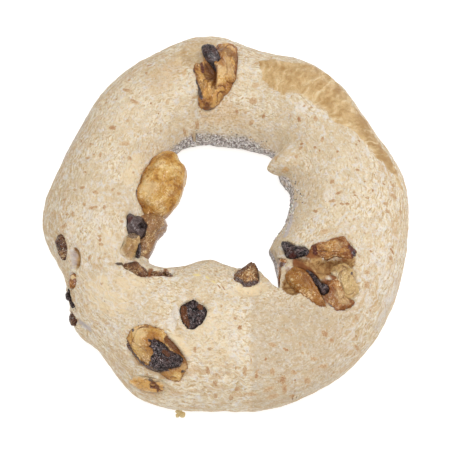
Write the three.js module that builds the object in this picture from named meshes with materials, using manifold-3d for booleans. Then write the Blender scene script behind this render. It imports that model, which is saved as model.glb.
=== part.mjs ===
// Ring bread: one rope of floured dough, bent into a ring with its ends lapped at the left of the front,
// and studded with scorched, plumped raisins. Millimetres, +Z up, the front of the ring faces -Y.
// The origin is under the middle of the ring, on the surface that it rests on.

import * as THREE from 'three';
import { mergeVertices } from 'three/addons/utils/BufferGeometryUtils.js';
import Module from 'manifold-3d';

const wasm = await Module();
wasm.setup();

// Driving dimensions of the rope, every 30 degrees counter-clockwise from the right of the ring:
// how far its inner and its outer side lie from the middle of the ring, and how tall it is.
const ROPE = [
  { inner: 17.3, outer: 55, height: 25 },
  { inner: 23.3, outer: 54.5, height: 25 },
  { inner: 27, outer: 59, height: 24.5 },
  { inner: 27, outer: 60.5, height: 24 },
  { inner: 29, outer: 60, height: 24 },
  { inner: 23.5, outer: 54, height: 25 },
  { inner: 20.5, outer: 55, height: 25 },
  { inner: 25.8, outer: 53.5, height: 25.5 },
  { inner: 14.5, outer: 57.5, height: 27 },
  { inner: 13, outer: 56.5, height: 27 },
  { inner: 17.5, outer: 57.5, height: 26.5 },
  { inner: 15.3, outer: 56, height: 26 },
];
const WAIST = 0.42;          // height of the widest line of the section, as a share of the rope's height
const SETTLE = 1.3;          // how far the underside is pressed flat: above 1 it gains a flat band
const UNEVEN = 0.012;        // share by which the rope swells and shrinks along its length
const SLOW_WAVES = 5;        // slow swells round the ring
const QUICK_WAVES = 8;       // quicker swells round the ring

const STEPS_ROUND = 92;      // steps round the ring
const STEPS_SECTION = 26;    // steps round the rope's section
const TOP_HEAVY = 0.35;      // how much closer the section's steps stand on top than underneath

// Knuckles and dips of the rope. Heading and breadth are degrees round the ring, side is the middle of
// the swelling in the section (0 the outer side, 90 the top, 180 the inner side), rise is in millimetres.
const SWELLINGS = [
  { heading: 98, breadth: 7, side: 0, rise: 2.2 },       // knuckle at the back
  { heading: 78, breadth: 6, side: 0, rise: -2 },        // dip to its right
  { heading: 17, breadth: 9, side: 0, rise: 1.6 },       // shoulder at the right
  { heading: 197, breadth: 7, side: 0, rise: -2.6 },     // waist where the two ends meet
  { heading: 229, breadth: 8, side: 0, rise: -2 },       // hollow flank of the lap
  { heading: 251, breadth: 9, side: 0, rise: 1.6 },      // heel of the front limb
  { heading: 284, breadth: 10, side: 0, rise: 1.4 },     // swelling at the middle of the front
  { heading: 216, breadth: 9, side: 80, rise: 1.6 },     // lapped end, lying over the other
  { heading: 42, breadth: 7, side: 180, rise: 3 },       // root of the spur at the back right of the hole
  { heading: 217, breadth: 4, side: -10, rise: 1.6 },    // foot of the lapped end
  { heading: 172, breadth: 14, side: 150, rise: -1 },    // seat of the large raisin at the left
];

// The spur of dough that reaches into the hole at the back right.
const SPUR = { x: 18.2, y: 17.8, z: 16.5, length: 12, width: 8, depth: 10, heading: 197, taper: 0.5, detail: 2 };

// The torn notch in the inner edge, between the ledge at the front and the raisins at the right.
const NOTCH = { x: 13.7, y: -17.2, z: 10, length: 18, width: 5, depth: 90, heading: -76, taper: 0.5, detail: 2 };

// The crease between the lapped ends: points in the skin of the rope, from the hole to the outer side.
const CREASE = [[-16, -19, 22], [-21, -19, 25], [-28, -17.5, 26], [-34, -16.8, 26], [-39, -17.5, 25],
  [-44, -19.5, 21], [-49, -21, 13]];
const CREASE_RADIUS = 1.3;
const CREASE_SIDES = 6;
const CREASE_STEPS = 24;

// Torn hollows in the dough beside the raisins.
const HOLLOWS = [
  { x: 18.4, y: -23, z: 26.5, length: 8.5, width: 6, depth: 7, heading: -50 },
  { x: 31.3, y: -18.2, z: 26.5, length: 11, width: 5, depth: 9, heading: 0 },
  { x: -4.2, y: 42.8, z: 25.5, length: 9.5, width: 3.4, depth: 8, heading: 96, taper: -0.4 },
  { x: -43.6, y: -14.6, z: 24.5, length: 7, width: 3, depth: 7, heading: 100 },
  { x: 6.8, y: -24.6, z: 26.2, length: 10, width: 5.4, depth: 5, heading: -8 },
];

// Raisins. Length lies along the heading, which is degrees in plan; lean tips the far end down, and roll
// turns the raisin about its length. Taper narrows the far end. Pieces that stay whole come first.
const RAISINS = [
  { name: 'raisin_back_tip', x: -5.2, y: 50.6, z: 25, length: 8.2, width: 5.2, depth: 4, heading: -56, lean: 8,
    taper: 0.35, detail: 1, finish: 'char' },
  { name: 'raisin_back_husk', x: -3, y: 44.6, z: 20.6, length: 22.5, width: 13.5, depth: 12, heading: 75,
    lean: 12, taper: -0.12, detail: 2, finish: 'amber' },
  { name: 'raisin_inner_left', x: -19.8, y: 11.3, z: 16.5, length: 21.5, width: 15.5, depth: 14.5,
    heading: 72, taper: 0.08, detail: 2, finish: 'golden' },
  { name: 'raisin_left_char', x: -26, y: -3.4, z: 20.4, length: 7.6, width: 6.8, depth: 5.5, heading: 80,
    roll: 30, detail: 1, finish: 'char' },
  { name: 'raisin_left_strip', x: -25.2, y: -11.4, z: 21.2, length: 6, width: 1.8, depth: 5, heading: 95,
    detail: 1, finish: 'char' },
  { name: 'raisin_left_amber', x: -23, y: -5.2, z: 15, length: 17, width: 9, depth: 13, heading: 68,
    taper: -0.3, detail: 2, finish: 'amber' },
  { name: 'raisin_left_lobe', x: -28.6, y: -12, z: 21.4, length: 9.5, width: 6.2, depth: 6.5, heading: 100,
    roll: 20, detail: 1, finish: 'golden' },
  { name: 'raisin_join_tip', x: -26.8, y: -18, z: 23.6, length: 10, width: 4.4, depth: 5.5, heading: -22,
    taper: -0.3, detail: 1, finish: 'brown' },
  { name: 'raisin_join_edge', x: -19.9, y: -19.2, z: 22, length: 5.2, width: 3.6, depth: 5, heading: -10,
    detail: 1, finish: 'brown' },
  { name: 'raisin_join_small', x: -16, y: -19.8, z: 22.6, length: 3, width: 2.6, depth: 3.4, heading: 60,
    detail: 1, finish: 'brown' },
  { name: 'raisin_side_upper', x: -48.3, y: -9.7, z: 19.8, length: 8.2, width: 4, depth: 4.6, heading: 100,
    roll: -40, detail: 1, finish: 'brown' },
  { name: 'raisin_side_middle', x: -44.8, y: -20.9, z: 20.4, length: 6, width: 4.4, depth: 5, heading: 80,
    roll: -30, detail: 1, finish: 'amber' },
  { name: 'raisin_side_char', x: -46.4, y: -25.2, z: 17.6, length: 6, width: 3.4, depth: 4, heading: 95,
    roll: -30, detail: 1, finish: 'char' },
  { name: 'raisin_side_lower', x: -45.2, y: -30.6, z: 14.5, length: 4.6, width: 3.4, depth: 4, heading: 95,
    detail: 1, finish: 'brown' },
  { name: 'raisin_front_char', x: -16.4, y: -43.8, z: 24.8, length: 11.5, width: 8.6, depth: 6, heading: -22,
    roll: 22, detail: 1, finish: 'char' },
  { name: 'raisin_front_husk', x: -19.6, y: -42.4, z: 22.4, length: 21, width: 15, depth: 10.5, heading: -30,
    roll: 22, taper: 0.1, detail: 2, finish: 'golden' },
  { name: 'raisin_front_skin', x: -20, y: -51, z: 18, length: 14.5, width: 5.4, depth: 4.4, heading: -8,
    roll: 55, detail: 1, finish: 'amber' },
  { name: 'raisin_socket', x: -9.2, y: -33.2, z: 24, length: 9.4, width: 7.8, depth: 7.5, heading: 85,
    detail: 1, finish: 'char' },
  { name: 'raisin_inner_front', x: 6.8, y: -18.8, z: 20, length: 10, width: 8, depth: 9, heading: 72,
    lean: -15, taper: 0.5, detail: 2, finish: 'brown' },
  { name: 'raisin_right_char', x: 20.4, y: -11.6, z: 22.6, length: 10, width: 6, depth: 6, heading: -32,
    lean: -8, detail: 1, finish: 'char' },
  { name: 'raisin_right_edge', x: 16.6, y: -15.6, z: 18.6, length: 7.4, width: 4.4, depth: 8, heading: 96,
    detail: 1, finish: 'amber' },
  { name: 'raisin_right_strip', x: 26.6, y: -23.2, z: 25.4, length: 9.5, width: 2.4, depth: 4.6, heading: -50,
    detail: 1, finish: 'char' },
  { name: 'raisin_right_long', x: 24.6, y: -24.8, z: 24, length: 17.5, width: 6.6, depth: 7, heading: -54,
    taper: 0.3, detail: 2, finish: 'golden' },
  { name: 'raisin_right_top', x: 31.2, y: -12.6, z: 24, length: 13.6, width: 7, depth: 7.4, heading: -3,
    detail: 1, finish: 'amber' },
  { name: 'raisin_right_bubble', x: 35.2, y: -21.8, z: 24, length: 9, width: 7.6, depth: 6, heading: 60,
    detail: 1, finish: 'golden' },
  { name: 'raisin_right_skin', x: 31.8, y: -25.8, z: 23.2, length: 13, width: 9, depth: 7, heading: -50,
    detail: 1, finish: 'amber' },
];
const WRINKLE = 0.05;        // depth of a raisin's folds, as a share of its radius
const FOLDS = new THREE.Vector3(4, 5, 3);   // how closely the folds follow each other along each axis
const GAP = 0.4;             // clearance between a raisin and what it lies against

const WELD = 1e-4;           // corners nearer than this are one corner

const MIDDLE = { x: 0.3, y: 2.6 };   // middle of the finished ring's outline, set over the origin

// Finishes of the pieces.
const COLOURS = { crust: 0xe2d0b2, golden: 0xc9a06a, amber: 0xa87844, brown: 0x6b4630, char: 0x40342f };

const degrees = THREE.MathUtils.degToRad;
const ropeSizes = new THREE.CatmullRomCurve3(
  ROPE.map((at) => new THREE.Vector3(at.inner, at.outer, at.height)), true, 'catmullrom', 0.5);

// How far a swelling lifts the skin at a heading and at an angle of the section, both in radians.
function lift(heading, angle) {
  let sum = 0;
  for (const swelling of SWELLINGS) {
    const away = heading - degrees(swelling.heading);
    const across = Math.max(0, Math.cos(angle - degrees(swelling.side)));
    const near = Math.atan2(Math.sin(away), Math.cos(away)) / degrees(swelling.breadth);
    sum += swelling.rise * Math.exp(-near * near / 2) * across * across;
  }
  return sum;
}

// A point of the rope's skin: turn runs 0 to 1 round the ring, around runs 0 to 1 round the section.
function ropePoint(turn, around) {
  const size = ropeSizes.getPoint(turn);
  const heading = turn * 2 * Math.PI;
  const even = around * 2 * Math.PI;
  const angle = even + TOP_HEAVY * Math.cos(even);
  const slow = Math.sin(SLOW_WAVES * heading + 2 * angle);
  const quick = Math.sin(QUICK_WAVES * heading - angle + 1);
  const swell = 1 + UNEVEN * (slow + quick);
  const raise = lift(heading, angle);
  const waist = WAIST * size.z;
  const reach = (size.y + size.x) / 2 + (swell * (size.y - size.x) / 2 + raise) * Math.cos(angle);
  const rise = Math.sin(angle) > 0 ? size.z - waist : SETTLE * waist;
  const height = Math.max(0, waist + (swell * rise + raise) * Math.sin(angle));
  return new THREE.Vector3(reach * Math.cos(heading), reach * Math.sin(heading), height);
}

function ropeGeometry() {
  const geometry = new THREE.TorusGeometry(1, 0.5, STEPS_SECTION, STEPS_ROUND);
  const { position, uv } = geometry.attributes;
  for (let i = 0; i < position.count; i += 1) {
    const point = ropePoint(uv.getX(i) % 1, uv.getY(i) % 1);
    position.setXYZ(i, point.x, point.y, point.z);
  }
  return geometry;
}

// An egg with folds in its skin, at its place. Grown by a clearance it is the pocket that it lies in.
function eggGeometry(egg, grown = 0) {
  const geometry = new THREE.IcosahedronGeometry(1, egg.detail ?? 1);
  const { position } = geometry.attributes;
  const direction = new THREE.Vector3();
  for (let i = 0; i < position.count; i += 1) {
    direction.fromBufferAttribute(position, i);
    const { x, y, z } = direction;
    const ridge = Math.sin(FOLDS.x * x + FOLDS.y * y + egg.x) * Math.cos(FOLDS.z * z - FOLDS.x * y + egg.y);
    const fold = 1 + WRINKLE * ridge;
    const girth = fold * (1 - (egg.taper ?? 0) * x);
    const length = x * fold * (egg.length / 2 + grown);
    position.setXYZ(i, length, y * girth * (egg.width / 2 + grown), z * girth * (egg.depth / 2 + grown));
  }
  geometry.rotateX(degrees(egg.roll ?? 0));
  geometry.rotateY(degrees(egg.lean ?? 0));
  geometry.rotateZ(degrees(egg.heading));
  geometry.translate(egg.x, egg.y, egg.z);
  return geometry;
}

function creaseGeometry() {
  const path = new THREE.CatmullRomCurve3(CREASE.map((point) => new THREE.Vector3(...point)));
  const section = new THREE.Shape();
  section.absarc(0, 0, CREASE_RADIUS, 0, 2 * Math.PI, false);
  return new THREE.ExtrudeGeometry(section, {
    extrudePath: path, steps: CREASE_STEPS, curveSegments: CREASE_SIDES, bevelEnabled: false,
  });
}

function solidOf(geometry) {
  geometry.deleteAttribute('normal');
  geometry.deleteAttribute('uv');
  const welded = mergeVertices(geometry, WELD);
  return new wasm.Manifold(new wasm.Mesh({
    numProp: 3,
    vertProperties: new Float32Array(welded.attributes.position.array),
    triVerts: new Uint32Array(welded.index.array),
  }));
}

// The largest body of a cut solid, without the crumbs that a cut leaves.
function mainBody(solid) {
  const bodies = solid.decompose();
  return bodies.reduce((best, body) => (body.volume() > best.volume() ? body : best));
}

function addMesh(group, name, solid, material) {
  const { vertProperties, triVerts } = solid.getMesh();
  const geometry = new THREE.BufferGeometry();
  geometry.setAttribute('position', new THREE.BufferAttribute(vertProperties, 3));
  geometry.setIndex(new THREE.BufferAttribute(triVerts, 1));
  const mesh = new THREE.Mesh(geometry, material);
  mesh.name = name;
  group.add(mesh);
}

function finish(colour, roughness) {
  return new THREE.MeshStandardMaterial({ color: colour, roughness, metalness: 0 });
}

const finishes = {
  crust: finish(COLOURS.crust, 0.85),
  golden: finish(COLOURS.golden, 0.45),
  amber: finish(COLOURS.amber, 0.4),
  brown: finish(COLOURS.brown, 0.5),
  char: finish(COLOURS.char, 0.6),
};

const bread = new THREE.Group();
const pockets = HOLLOWS.map((hollow) => solidOf(eggGeometry(hollow)));
for (const raisin of RAISINS) {
  let solid = solidOf(eggGeometry(raisin));
  for (const pocket of pockets) solid = solid.subtract(pocket);
  addMesh(bread, raisin.name, mainBody(solid), finishes[raisin.finish]);
  pockets.push(solidOf(eggGeometry(raisin, GAP)));
}

let dough = solidOf(ropeGeometry()).add(solidOf(eggGeometry(SPUR)));
for (const cut of [solidOf(eggGeometry(NOTCH)), solidOf(creaseGeometry()), ...pockets]) {
  dough = dough.subtract(cut);
}
addMesh(bread, 'dough_ring', mainBody(dough), finishes.crust);
bread.position.set(-MIDDLE.x, -MIDDLE.y, 0);

export default bread;
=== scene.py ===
# Ring bread: one rope of floured dough, bent into a ring with its ends lapped at the left of the front,
# and studded with scorched, plumped raisins. Shapes are worked out in millimetres in the ring's own
# frame, and set in metres over the middle of the CAD ring.

import math

import bmesh
import bpy
import numpy as np
from bpy.props import FloatProperty, FloatVectorProperty, IntProperty, PointerProperty
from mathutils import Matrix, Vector
from mathutils.bvhtree import BVHTree


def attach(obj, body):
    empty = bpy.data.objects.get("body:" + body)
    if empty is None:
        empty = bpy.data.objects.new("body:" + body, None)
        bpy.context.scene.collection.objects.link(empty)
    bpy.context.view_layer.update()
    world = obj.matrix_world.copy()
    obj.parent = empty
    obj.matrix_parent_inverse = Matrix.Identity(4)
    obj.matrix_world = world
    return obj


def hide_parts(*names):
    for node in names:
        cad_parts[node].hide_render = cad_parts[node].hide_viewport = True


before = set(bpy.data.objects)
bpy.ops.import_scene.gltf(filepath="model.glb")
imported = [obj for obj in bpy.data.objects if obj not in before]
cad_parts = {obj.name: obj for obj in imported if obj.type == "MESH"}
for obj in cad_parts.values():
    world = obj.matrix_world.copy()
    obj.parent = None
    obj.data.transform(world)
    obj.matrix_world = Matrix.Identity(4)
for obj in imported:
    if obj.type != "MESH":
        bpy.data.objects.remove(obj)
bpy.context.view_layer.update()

bl_info = {
    "name": "Ring Bread",
    "version": (1, 0, 0),
    "blender": (4, 5, 0),
    "location": "View3D > Sidebar > Ring Bread",
    "description": "A floured ring bread with plumped raisins",
    "category": "Add Mesh",
}

BODY = "root"
MM = 0.001
MIDDLE = np.array((0.3, 2.6, 0.0))   # middle of the finished ring's outline, set over the origin

# The camera looks down on the bread from the front, 460 mm from its middle.
EYE = (0.0, -0.1607, 0.4443)
LOOK_DOWN = 70         # degrees below the horizon
LENS = 121.37          # mm
SENSOR = 36            # mm

FLOOR = -0.0002        # level of the floor in metres, just clear of the bread's flat seat
# Softboxes, all turned to the bread's middle: light property, side and place, in metres.
SOFTBOXES = (("key", 0.24, (0.0, -0.08, 0.60)), ("side", 0.12, (0.34, 0.16, 0.36)))

# The rope every 30 degrees counter-clockwise from the right: its inner side, outer side and height.
ROPE = np.array((
    (17.3, 55, 25), (23.3, 54.5, 25), (27, 59, 24.5), (27, 60.5, 24), (29, 60, 24), (23.5, 54, 25),
    (20.5, 55, 25), (25.8, 53.5, 25.5), (14.5, 57.5, 27), (13, 56.5, 27), (17.5, 57.5, 26.5), (15.3, 56, 26),
))
WAIST = 0.42           # height of the widest line of the section, as a share of the rope's height
SETTLE = 1.3           # how far the underside is pressed flat
UNEVEN = 0.012         # share by which the rope swells and shrinks along its length
SLOW_WAVES = 5
QUICK_WAVES = 8
TOP_HEAVY = 0.45       # how much closer the section's steps stand on top than underneath

# Knuckles and dips: heading and breadth in degrees round the ring, side of the section, rise.
SWELLINGS = (
    (98, 7, 0, 2.2), (78, 6, 0, -2), (17, 9, 0, 1.6), (197, 7, 0, -2.6), (229, 8, 0, -2), (251, 9, 0, 1.6),
    (284, 10, 0, 1.4), (216, 9, 80, 1.6), (42, 7, 180, 3), (217, 4, -10, 1.6), (172, 14, 150, -1),
)

# Eggs: x, y, z, length, width, depth, heading, lean, roll, taper.
SPUR = (18.2, 17.8, 16.5, 12, 8, 10, 197, 0, 0, 0.5)
NOTCH = (13.7, -17.2, 10, 18, 5, 90, -76, 0, 0, 0.5)
HOLLOWS = {
    "cluster_grey": (18.4, -23, 26.5, 8.5, 6, 7, -50, 0, 0, 0),
    "cluster_tan": (31.3, -18.2, 26.5, 11, 5, 9, 0, 0, 0, 0),
    "husk_brown": (-4.2, 42.8, 25.5, 9.5, 3.4, 8, 96, 0, 0, -0.4),
    "side_lilac": (-43.6, -14.6, 24.5, 7, 3, 7, 100, 0, 0, 0),
    "ledge": (6.8, -24.6, 26.2, 10, 5.4, 5, -8, 0, 0, 0),
}
RAISINS = {
    "back_tip": (-5.2, 50.6, 25.9, 8.2, 5.2, 4, -56, 8, 0, 0.35),
    "back_husk": (-3, 44.6, 20.6, 22.5, 13.5, 12, 75, 12, 0, -0.12),
    "inner_left": (-19.8, 11.3, 16.5, 21.5, 15.5, 14.5, 72, 0, 0, 0.08),
    "left_char": (-26, -3.4, 20.4, 7.6, 6.8, 5.5, 80, 0, 30, 0),
    "left_strip": (-25.2, -11.4, 21.2, 6, 1.8, 5, 95, 0, 0, 0),
    "left_amber": (-23, -5.2, 15, 17, 9, 13, 68, 0, 0, -0.3),
    "left_lobe": (-28.6, -12, 21.4, 9.5, 6.2, 6.5, 100, 0, 20, 0),
    "join_tip": (-26.8, -18, 23.6, 10, 4.4, 5.5, -22, 0, 0, -0.3),
    "join_edge": (-19.9, -19.2, 22, 5.2, 3.6, 5, -10, 0, 0, 0),
    "join_small": (-16, -19.8, 22.6, 3, 2.6, 3.4, 60, 0, 0, 0),
    "side_upper": (-48.3, -9.7, 19.8, 8.2, 4, 4.6, 100, 0, -40, 0),
    "side_middle": (-44.8, -20.9, 20.4, 6, 4.4, 5, 80, 0, -30, 0),
    "side_char": (-46.4, -25.2, 17.6, 6, 3.4, 4, 95, 0, -30, 0),
    "side_lower": (-45.2, -30.6, 14.5, 4.6, 3.4, 4, 95, 0, 0, 0),
    "front_char": (-16.1, -44.3, 25.5, 10.8, 8.0, 6, -22, 0, 22, 0),
    "front_husk": (-19.6, -42.4, 22.4, 21, 15, 10.5, -30, 0, 22, 0.1),
    "front_skin": (-20, -51, 18, 14.5, 5.4, 4.4, -8, 0, 55, 0),
    "socket": (-9.2, -33.2, 24, 9.4, 7.8, 7.5, 85, 0, 0, 0),
    "inner_front": (6.8, -18.8, 20, 10, 8, 9, 72, -15, 0, 0.5),
    "right_char": (20.4, -11.6, 22.6, 10, 6, 6, -32, -8, 0, 0),
    "right_edge": (16.6, -15.6, 18.6, 7.4, 4.4, 8, 96, 0, 0, 0),
    "right_strip": (26.6, -23.2, 25.4, 9.5, 2.4, 4.6, -50, 0, 0, 0),
    "right_long": (24.6, -24.8, 24, 17.5, 6.6, 7, -54, 0, 0, 0.3),
    "right_top": (31.2, -12.6, 24, 13.6, 7, 7.4, -3, 0, 0, 0),
    "right_bubble": (35.2, -21.8, 24, 9, 7.6, 6, 60, 0, 0, 0),
    "right_skin": (31.8, -25.8, 23.2, 13, 9, 7, -50, 0, 0, 0),
}

# How far each raisin is drawn in or out, square to the camera's view: a middle, in mm right and up from the
# egg's own, then the corners of its outline, each a heading in degrees counter-clockwise round that middle and
# the share by which the egg's reach changes there.
TRIMS = {
    "back_tip": (0.2, 0.2, (0, 1.22), (30, 1.02), (50, 0.92), (90, 0.67), (150, 0.69), (180, 0.65), (240, 0.83),
                 (270, 1.15), (280, 1.32), (290, 1.77), (300, 1.9), (310, 1.85), (320, 1.57), (340, 1.31)),
    "back_husk": (0.2, 2.3, (10, 1.09), (40, 1.16), (70, 1.15), (100, 0.9), (130, 0.85), (180, 1.18),
                  (190, 1.15), (230, 0.87), (250, 1.06), (260, 1.06), (280, 0.93), (300, 0.98), (330, 1.18),
                  (350, 1.16)),
    "inner_left": (0.4, -1.2, (10, 1.05), (50, 0.94), (80, 1), (120, 0.85), (150, 0.92), (170, 0.9),
                   (200, 1.04), (230, 1), (260, 1.24), (280, 1.08), (300, 0.98), (330, 0.97)),
    "left_char": (-0.2, -0.5, (10, 1.03), (40, 0.75), (90, 0.72), (100, 0.8), (120, 1.23), (130, 1.22),
                  (150, 1.05), (170, 1.03), (190, 1.12), (225, 1.56), (250, 0.92), (260, 0.94), (290, 1.24),
                  (320, 1.1)),
    "left_strip": (-0.2, 0.1, (0, 0.62), (30, 0.73), (50, 0.72), (70, 0.82), (90, 0.74), (120, 0.76),
                   (160, 0.82), (200, 1.05), (210, 1.23), (230, 1.9), (250, 1.9), (270, 0.95), (280, 0.66),
                   (290, 0.56), (320, 0.59)),
    "left_amber": (2.5, 2.4, (0, 0.94), (20, 1.04), (70, 0.74), (90, 0.75), (110, 0.88), (130, 0.88),
                   (150, 1.08), (190, 1.05), (210, 0.85), (240, 1.3), (250, 1.16), (270, 0.63), (290, 0.62),
                   (330, 0.78)),
    "left_lobe": (0.1, 0.7, (0, 1.07), (10, 1.14), (50, 1.61), (70, 1.38), (100, 1), (120, 0.71), (140, 0.68),
                  (170, 0.91), (220, 1.76), (230, 1.7), (250, 1.19), (270, 1.08), (280, 1.03), (300, 0.75),
                  (310, 0.69), (330, 0.8)),
    "join_tip": (1.1, 0, (0, 0.76), (20, 0.7), (50, 0.71), (90, 1.02), (110, 0.92), (140, 0.68), (150, 0.67),
                 (175, 0.99), (200, 0.82), (250, 0.8), (270, 0.9), (300, 1.35), (310, 1.4), (320, 1.3),
                 (340, 0.84)),
    "join_edge": (0.7, 0.3, (20, 1.1), (60, 0.69), (80, 0.58), (120, 0.48), (140, 0.5), (170, 0.71),
                  (180, 0.9), (200, 1.8), (210, 1.9), (310, 1.9), (320, 1.7), (340, 1.02)),
    "join_small": (-0.7, 0.3, (0, 0.5), (10, 0.45), (60, 0.45), (90, 0.94), (100, 1.13), (120, 1.7),
                   (130, 1.64), (150, 1.3), (200, 0.85), (210, 0.9), (250, 1.84), (260, 1.9), (320, 1.89),
                   (340, 1.39), (350, 1.01)),
    "side_upper": (-0.3, 0.8, (10, 1.39), (40, 1.35), (70, 1.15), (100, 0.81), (120, 0.75), (160, 0.79),
                   (200, 0.63), (250, 0.65), (280, 1.03), (290, 1.06), (310, 1.77), (320, 1.9), (340, 1.46),
                   (350, 1.37)),
    "side_middle": (0.2, -0.1, (40, 1.9), (50, 1.78), (70, 1.08), (110, 0.53), (130, 0.45), (220, 0.46),
                    (250, 0.71), (280, 0.7), (290, 0.83), (340, 1.86), (350, 1.9)),
    "side_char": (0.9, 1.3, (70, 1.9), (80, 1.78), (100, 1.27), (110, 1), (130, 0.45), (260, 0.45),
                  (270, 0.58), (290, 1.9)),
    "side_lower": (0.3, -0.4, (0, 1.61), (20, 1.84), (40, 1.9), (50, 1.83), (80, 1.29), (90, 1), (110, 0.74),
                   (150, 0.47), (220, 0.46), (240, 0.53), (280, 0.91), (330, 1.17), (350, 1.44)),
    "front_char": (-0.8, -0.8, (0, 0.85), (20, 0.58), (30, 0.49), (60, 0.47), (90, 0.69), (120, 1.29),
                   (135, 1.4), (150, 1.34), (170, 1.17), (180, 1.22), (210, 1.53), (250, 1.28), (280, 1),
                   (350, 0.9)),
    "front_husk": (-1.1, 0.8, (0, 0.82), (20, 0.75), (30, 0.75), (60, 0.88), (90, 0.88), (120, 1),
                   (140, 0.96), (160, 0.96), (190, 0.78), (280, 0.78), (290, 0.88), (300, 1.09), (310, 1.18),
                   (350, 0.89)),
    "socket": (-0.1, 0.8, (0, 1.35), (20, 1.45), (50, 1.19), (65, 1.13), (90, 1.24), (110, 1.3), (140, 1.52),
               (150, 1.52), (190, 1.34), (260, 1.31), (290, 1.16), (310, 1.15), (330, 1.27)),
    "inner_front": (-0.5, 0.1, (0, 0.8), (50, 0.94), (80, 0.89), (100, 0.8), (140, 0.78), (170, 0.87),
                    (200, 1.11), (230, 1.12), (250, 1.3), (260, 1.31), (270, 1.25), (290, 1.24), (320, 1.14),
                    (340, 0.89), (350, 0.8)),
    "right_char": (-1.6, -0.3, (0, 1.09), (10, 0.91), (20, 0.66), (30, 0.51), (40, 0.47), (80, 0.49),
                   (130, 0.89), (190, 0.89), (210, 0.97), (240, 1.28), (260, 1.6), (290, 1.85), (320, 1.82),
                   (340, 1.43), (350, 1.21)),
    "right_edge": (-0.2, 1.5, (0, 1.58), (10, 1.47), (60, 0.67), (80, 0.53), (100, 0.48), (120, 0.54),
                   (170, 0.57), (210, 0.54), (240, 0.68), (250, 0.79), (270, 1.9), (340, 1.9), (350, 1.77)),
    "right_strip": (1.3, -1.2, (0, 1.57), (20, 1.7), (30, 1.66), (80, 1.03), (100, 0.67), (110, 0.72),
                    (120, 0.97), (130, 1.05), (160, 1.12), (190, 1.1), (210, 1.19), (250, 1.56), (270, 1.44),
                    (300, 0.94), (315, 0.88), (330, 1.06), (350, 1.47)),
    "right_long": (-2.4, 2.1, (0, 0.94), (60, 0.98), (80, 0.89), (100, 0.96), (120, 0.99), (150, 1.33),
                   (160, 1.35), (200, 1.14), (240, 1.13), (275, 1.39), (290, 1.29), (330, 0.83), (350, 0.91)),
    "right_top": (0.3, 0.5, (0, 1), (10, 0.95), (50, 1.25), (60, 1.23), (140, 0.7), (170, 0.93), (180, 0.92),
                  (220, 1.33), (230, 1.3), (250, 0.95), (260, 0.83), (290, 0.76), (330, 1.24), (340, 1.21)),
    "right_bubble": (-0.4, 0.7, (0, 0.65), (20, 0.76), (50, 0.83), (80, 1), (100, 1.28), (135, 1.6),
                     (150, 1.54), (160, 1.43), (190, 0.86), (230, 0.88), (250, 1.08), (275, 1.52), (310, 1.28),
                     (340, 0.73), (350, 0.65)),
    "right_skin": (0.9, -1.4, (0, 1.02), (10, 0.75), (20, 0.6), (30, 0.63), (80, 1.09), (120, 1.11),
                   (130, 0.92), (140, 0.91), (160, 1.22), (230, 1.44), (260, 1.32), (290, 0.89), (310, 0.86),
                   (350, 1.1)),
}
TRIM_OF = {RAISINS[name]: trim for name, trim in TRIMS.items()}
VIEW_UP = np.array((0, math.sin(math.radians(LOOK_DOWN)), math.cos(math.radians(LOOK_DOWN))))
SEEN = np.stack((np.array((1, 0, 0)), VIEW_UP), axis=1)   # flattens points to what the camera sees

FINISHES = {
    "golden": ("inner_left", "left_lobe", "front_husk", "right_long", "right_bubble"),
    "amber": ("back_husk", "left_amber", "side_middle", "front_skin", "right_edge", "right_top", "right_skin"),
    "brown": ("join_tip", "join_edge", "join_small", "side_upper", "side_lower", "inner_front"),
    "char": ("back_tip", "left_char", "left_strip", "side_char", "front_char", "socket", "right_char",
             "right_strip"),
}
LARGE = ("back_husk", "inner_left", "left_amber", "front_husk", "right_long")
SMALL = ("join_edge", "join_small", "left_strip", "side_char", "side_lower", "right_strip")

# Lines that two marks follow: the split along the front husk and the lip of dough beside it, the split and
# the fold on the outer left side, and the crack that runs out from the bubble.
HUSK_SPLIT = ((-28.3, -40.2, 24.2), (-27.1, -42.5, 25), (-25.6, -44.7, 25.2), (-23.9, -46.5, 24.7),
              (-21.6, -48.1, 24.2), (-19.1, -48.8, 23.9), (-16.3, -47.6, 22.5))
HUSK_LIP = ((-16.8, -36.6, 24), (-15.4, -37.9, 25), (-13.6, -39.9, 25.5), (-12.2, -42, 25.5), (-11, -43.9, 25))
SIDE_SPLIT = ((-47.2, -23.2, 18.2), (-45.4, -26.5, 18.4), (-43.6, -28.6, 18.6))
SIDE_FOLD = ((-42.4, -32.5, 17), (-40, -35, 18))
BUBBLE_TAIL = ((37.1, -20, 23.4), (38.9, -20.9, 22.5))

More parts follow.
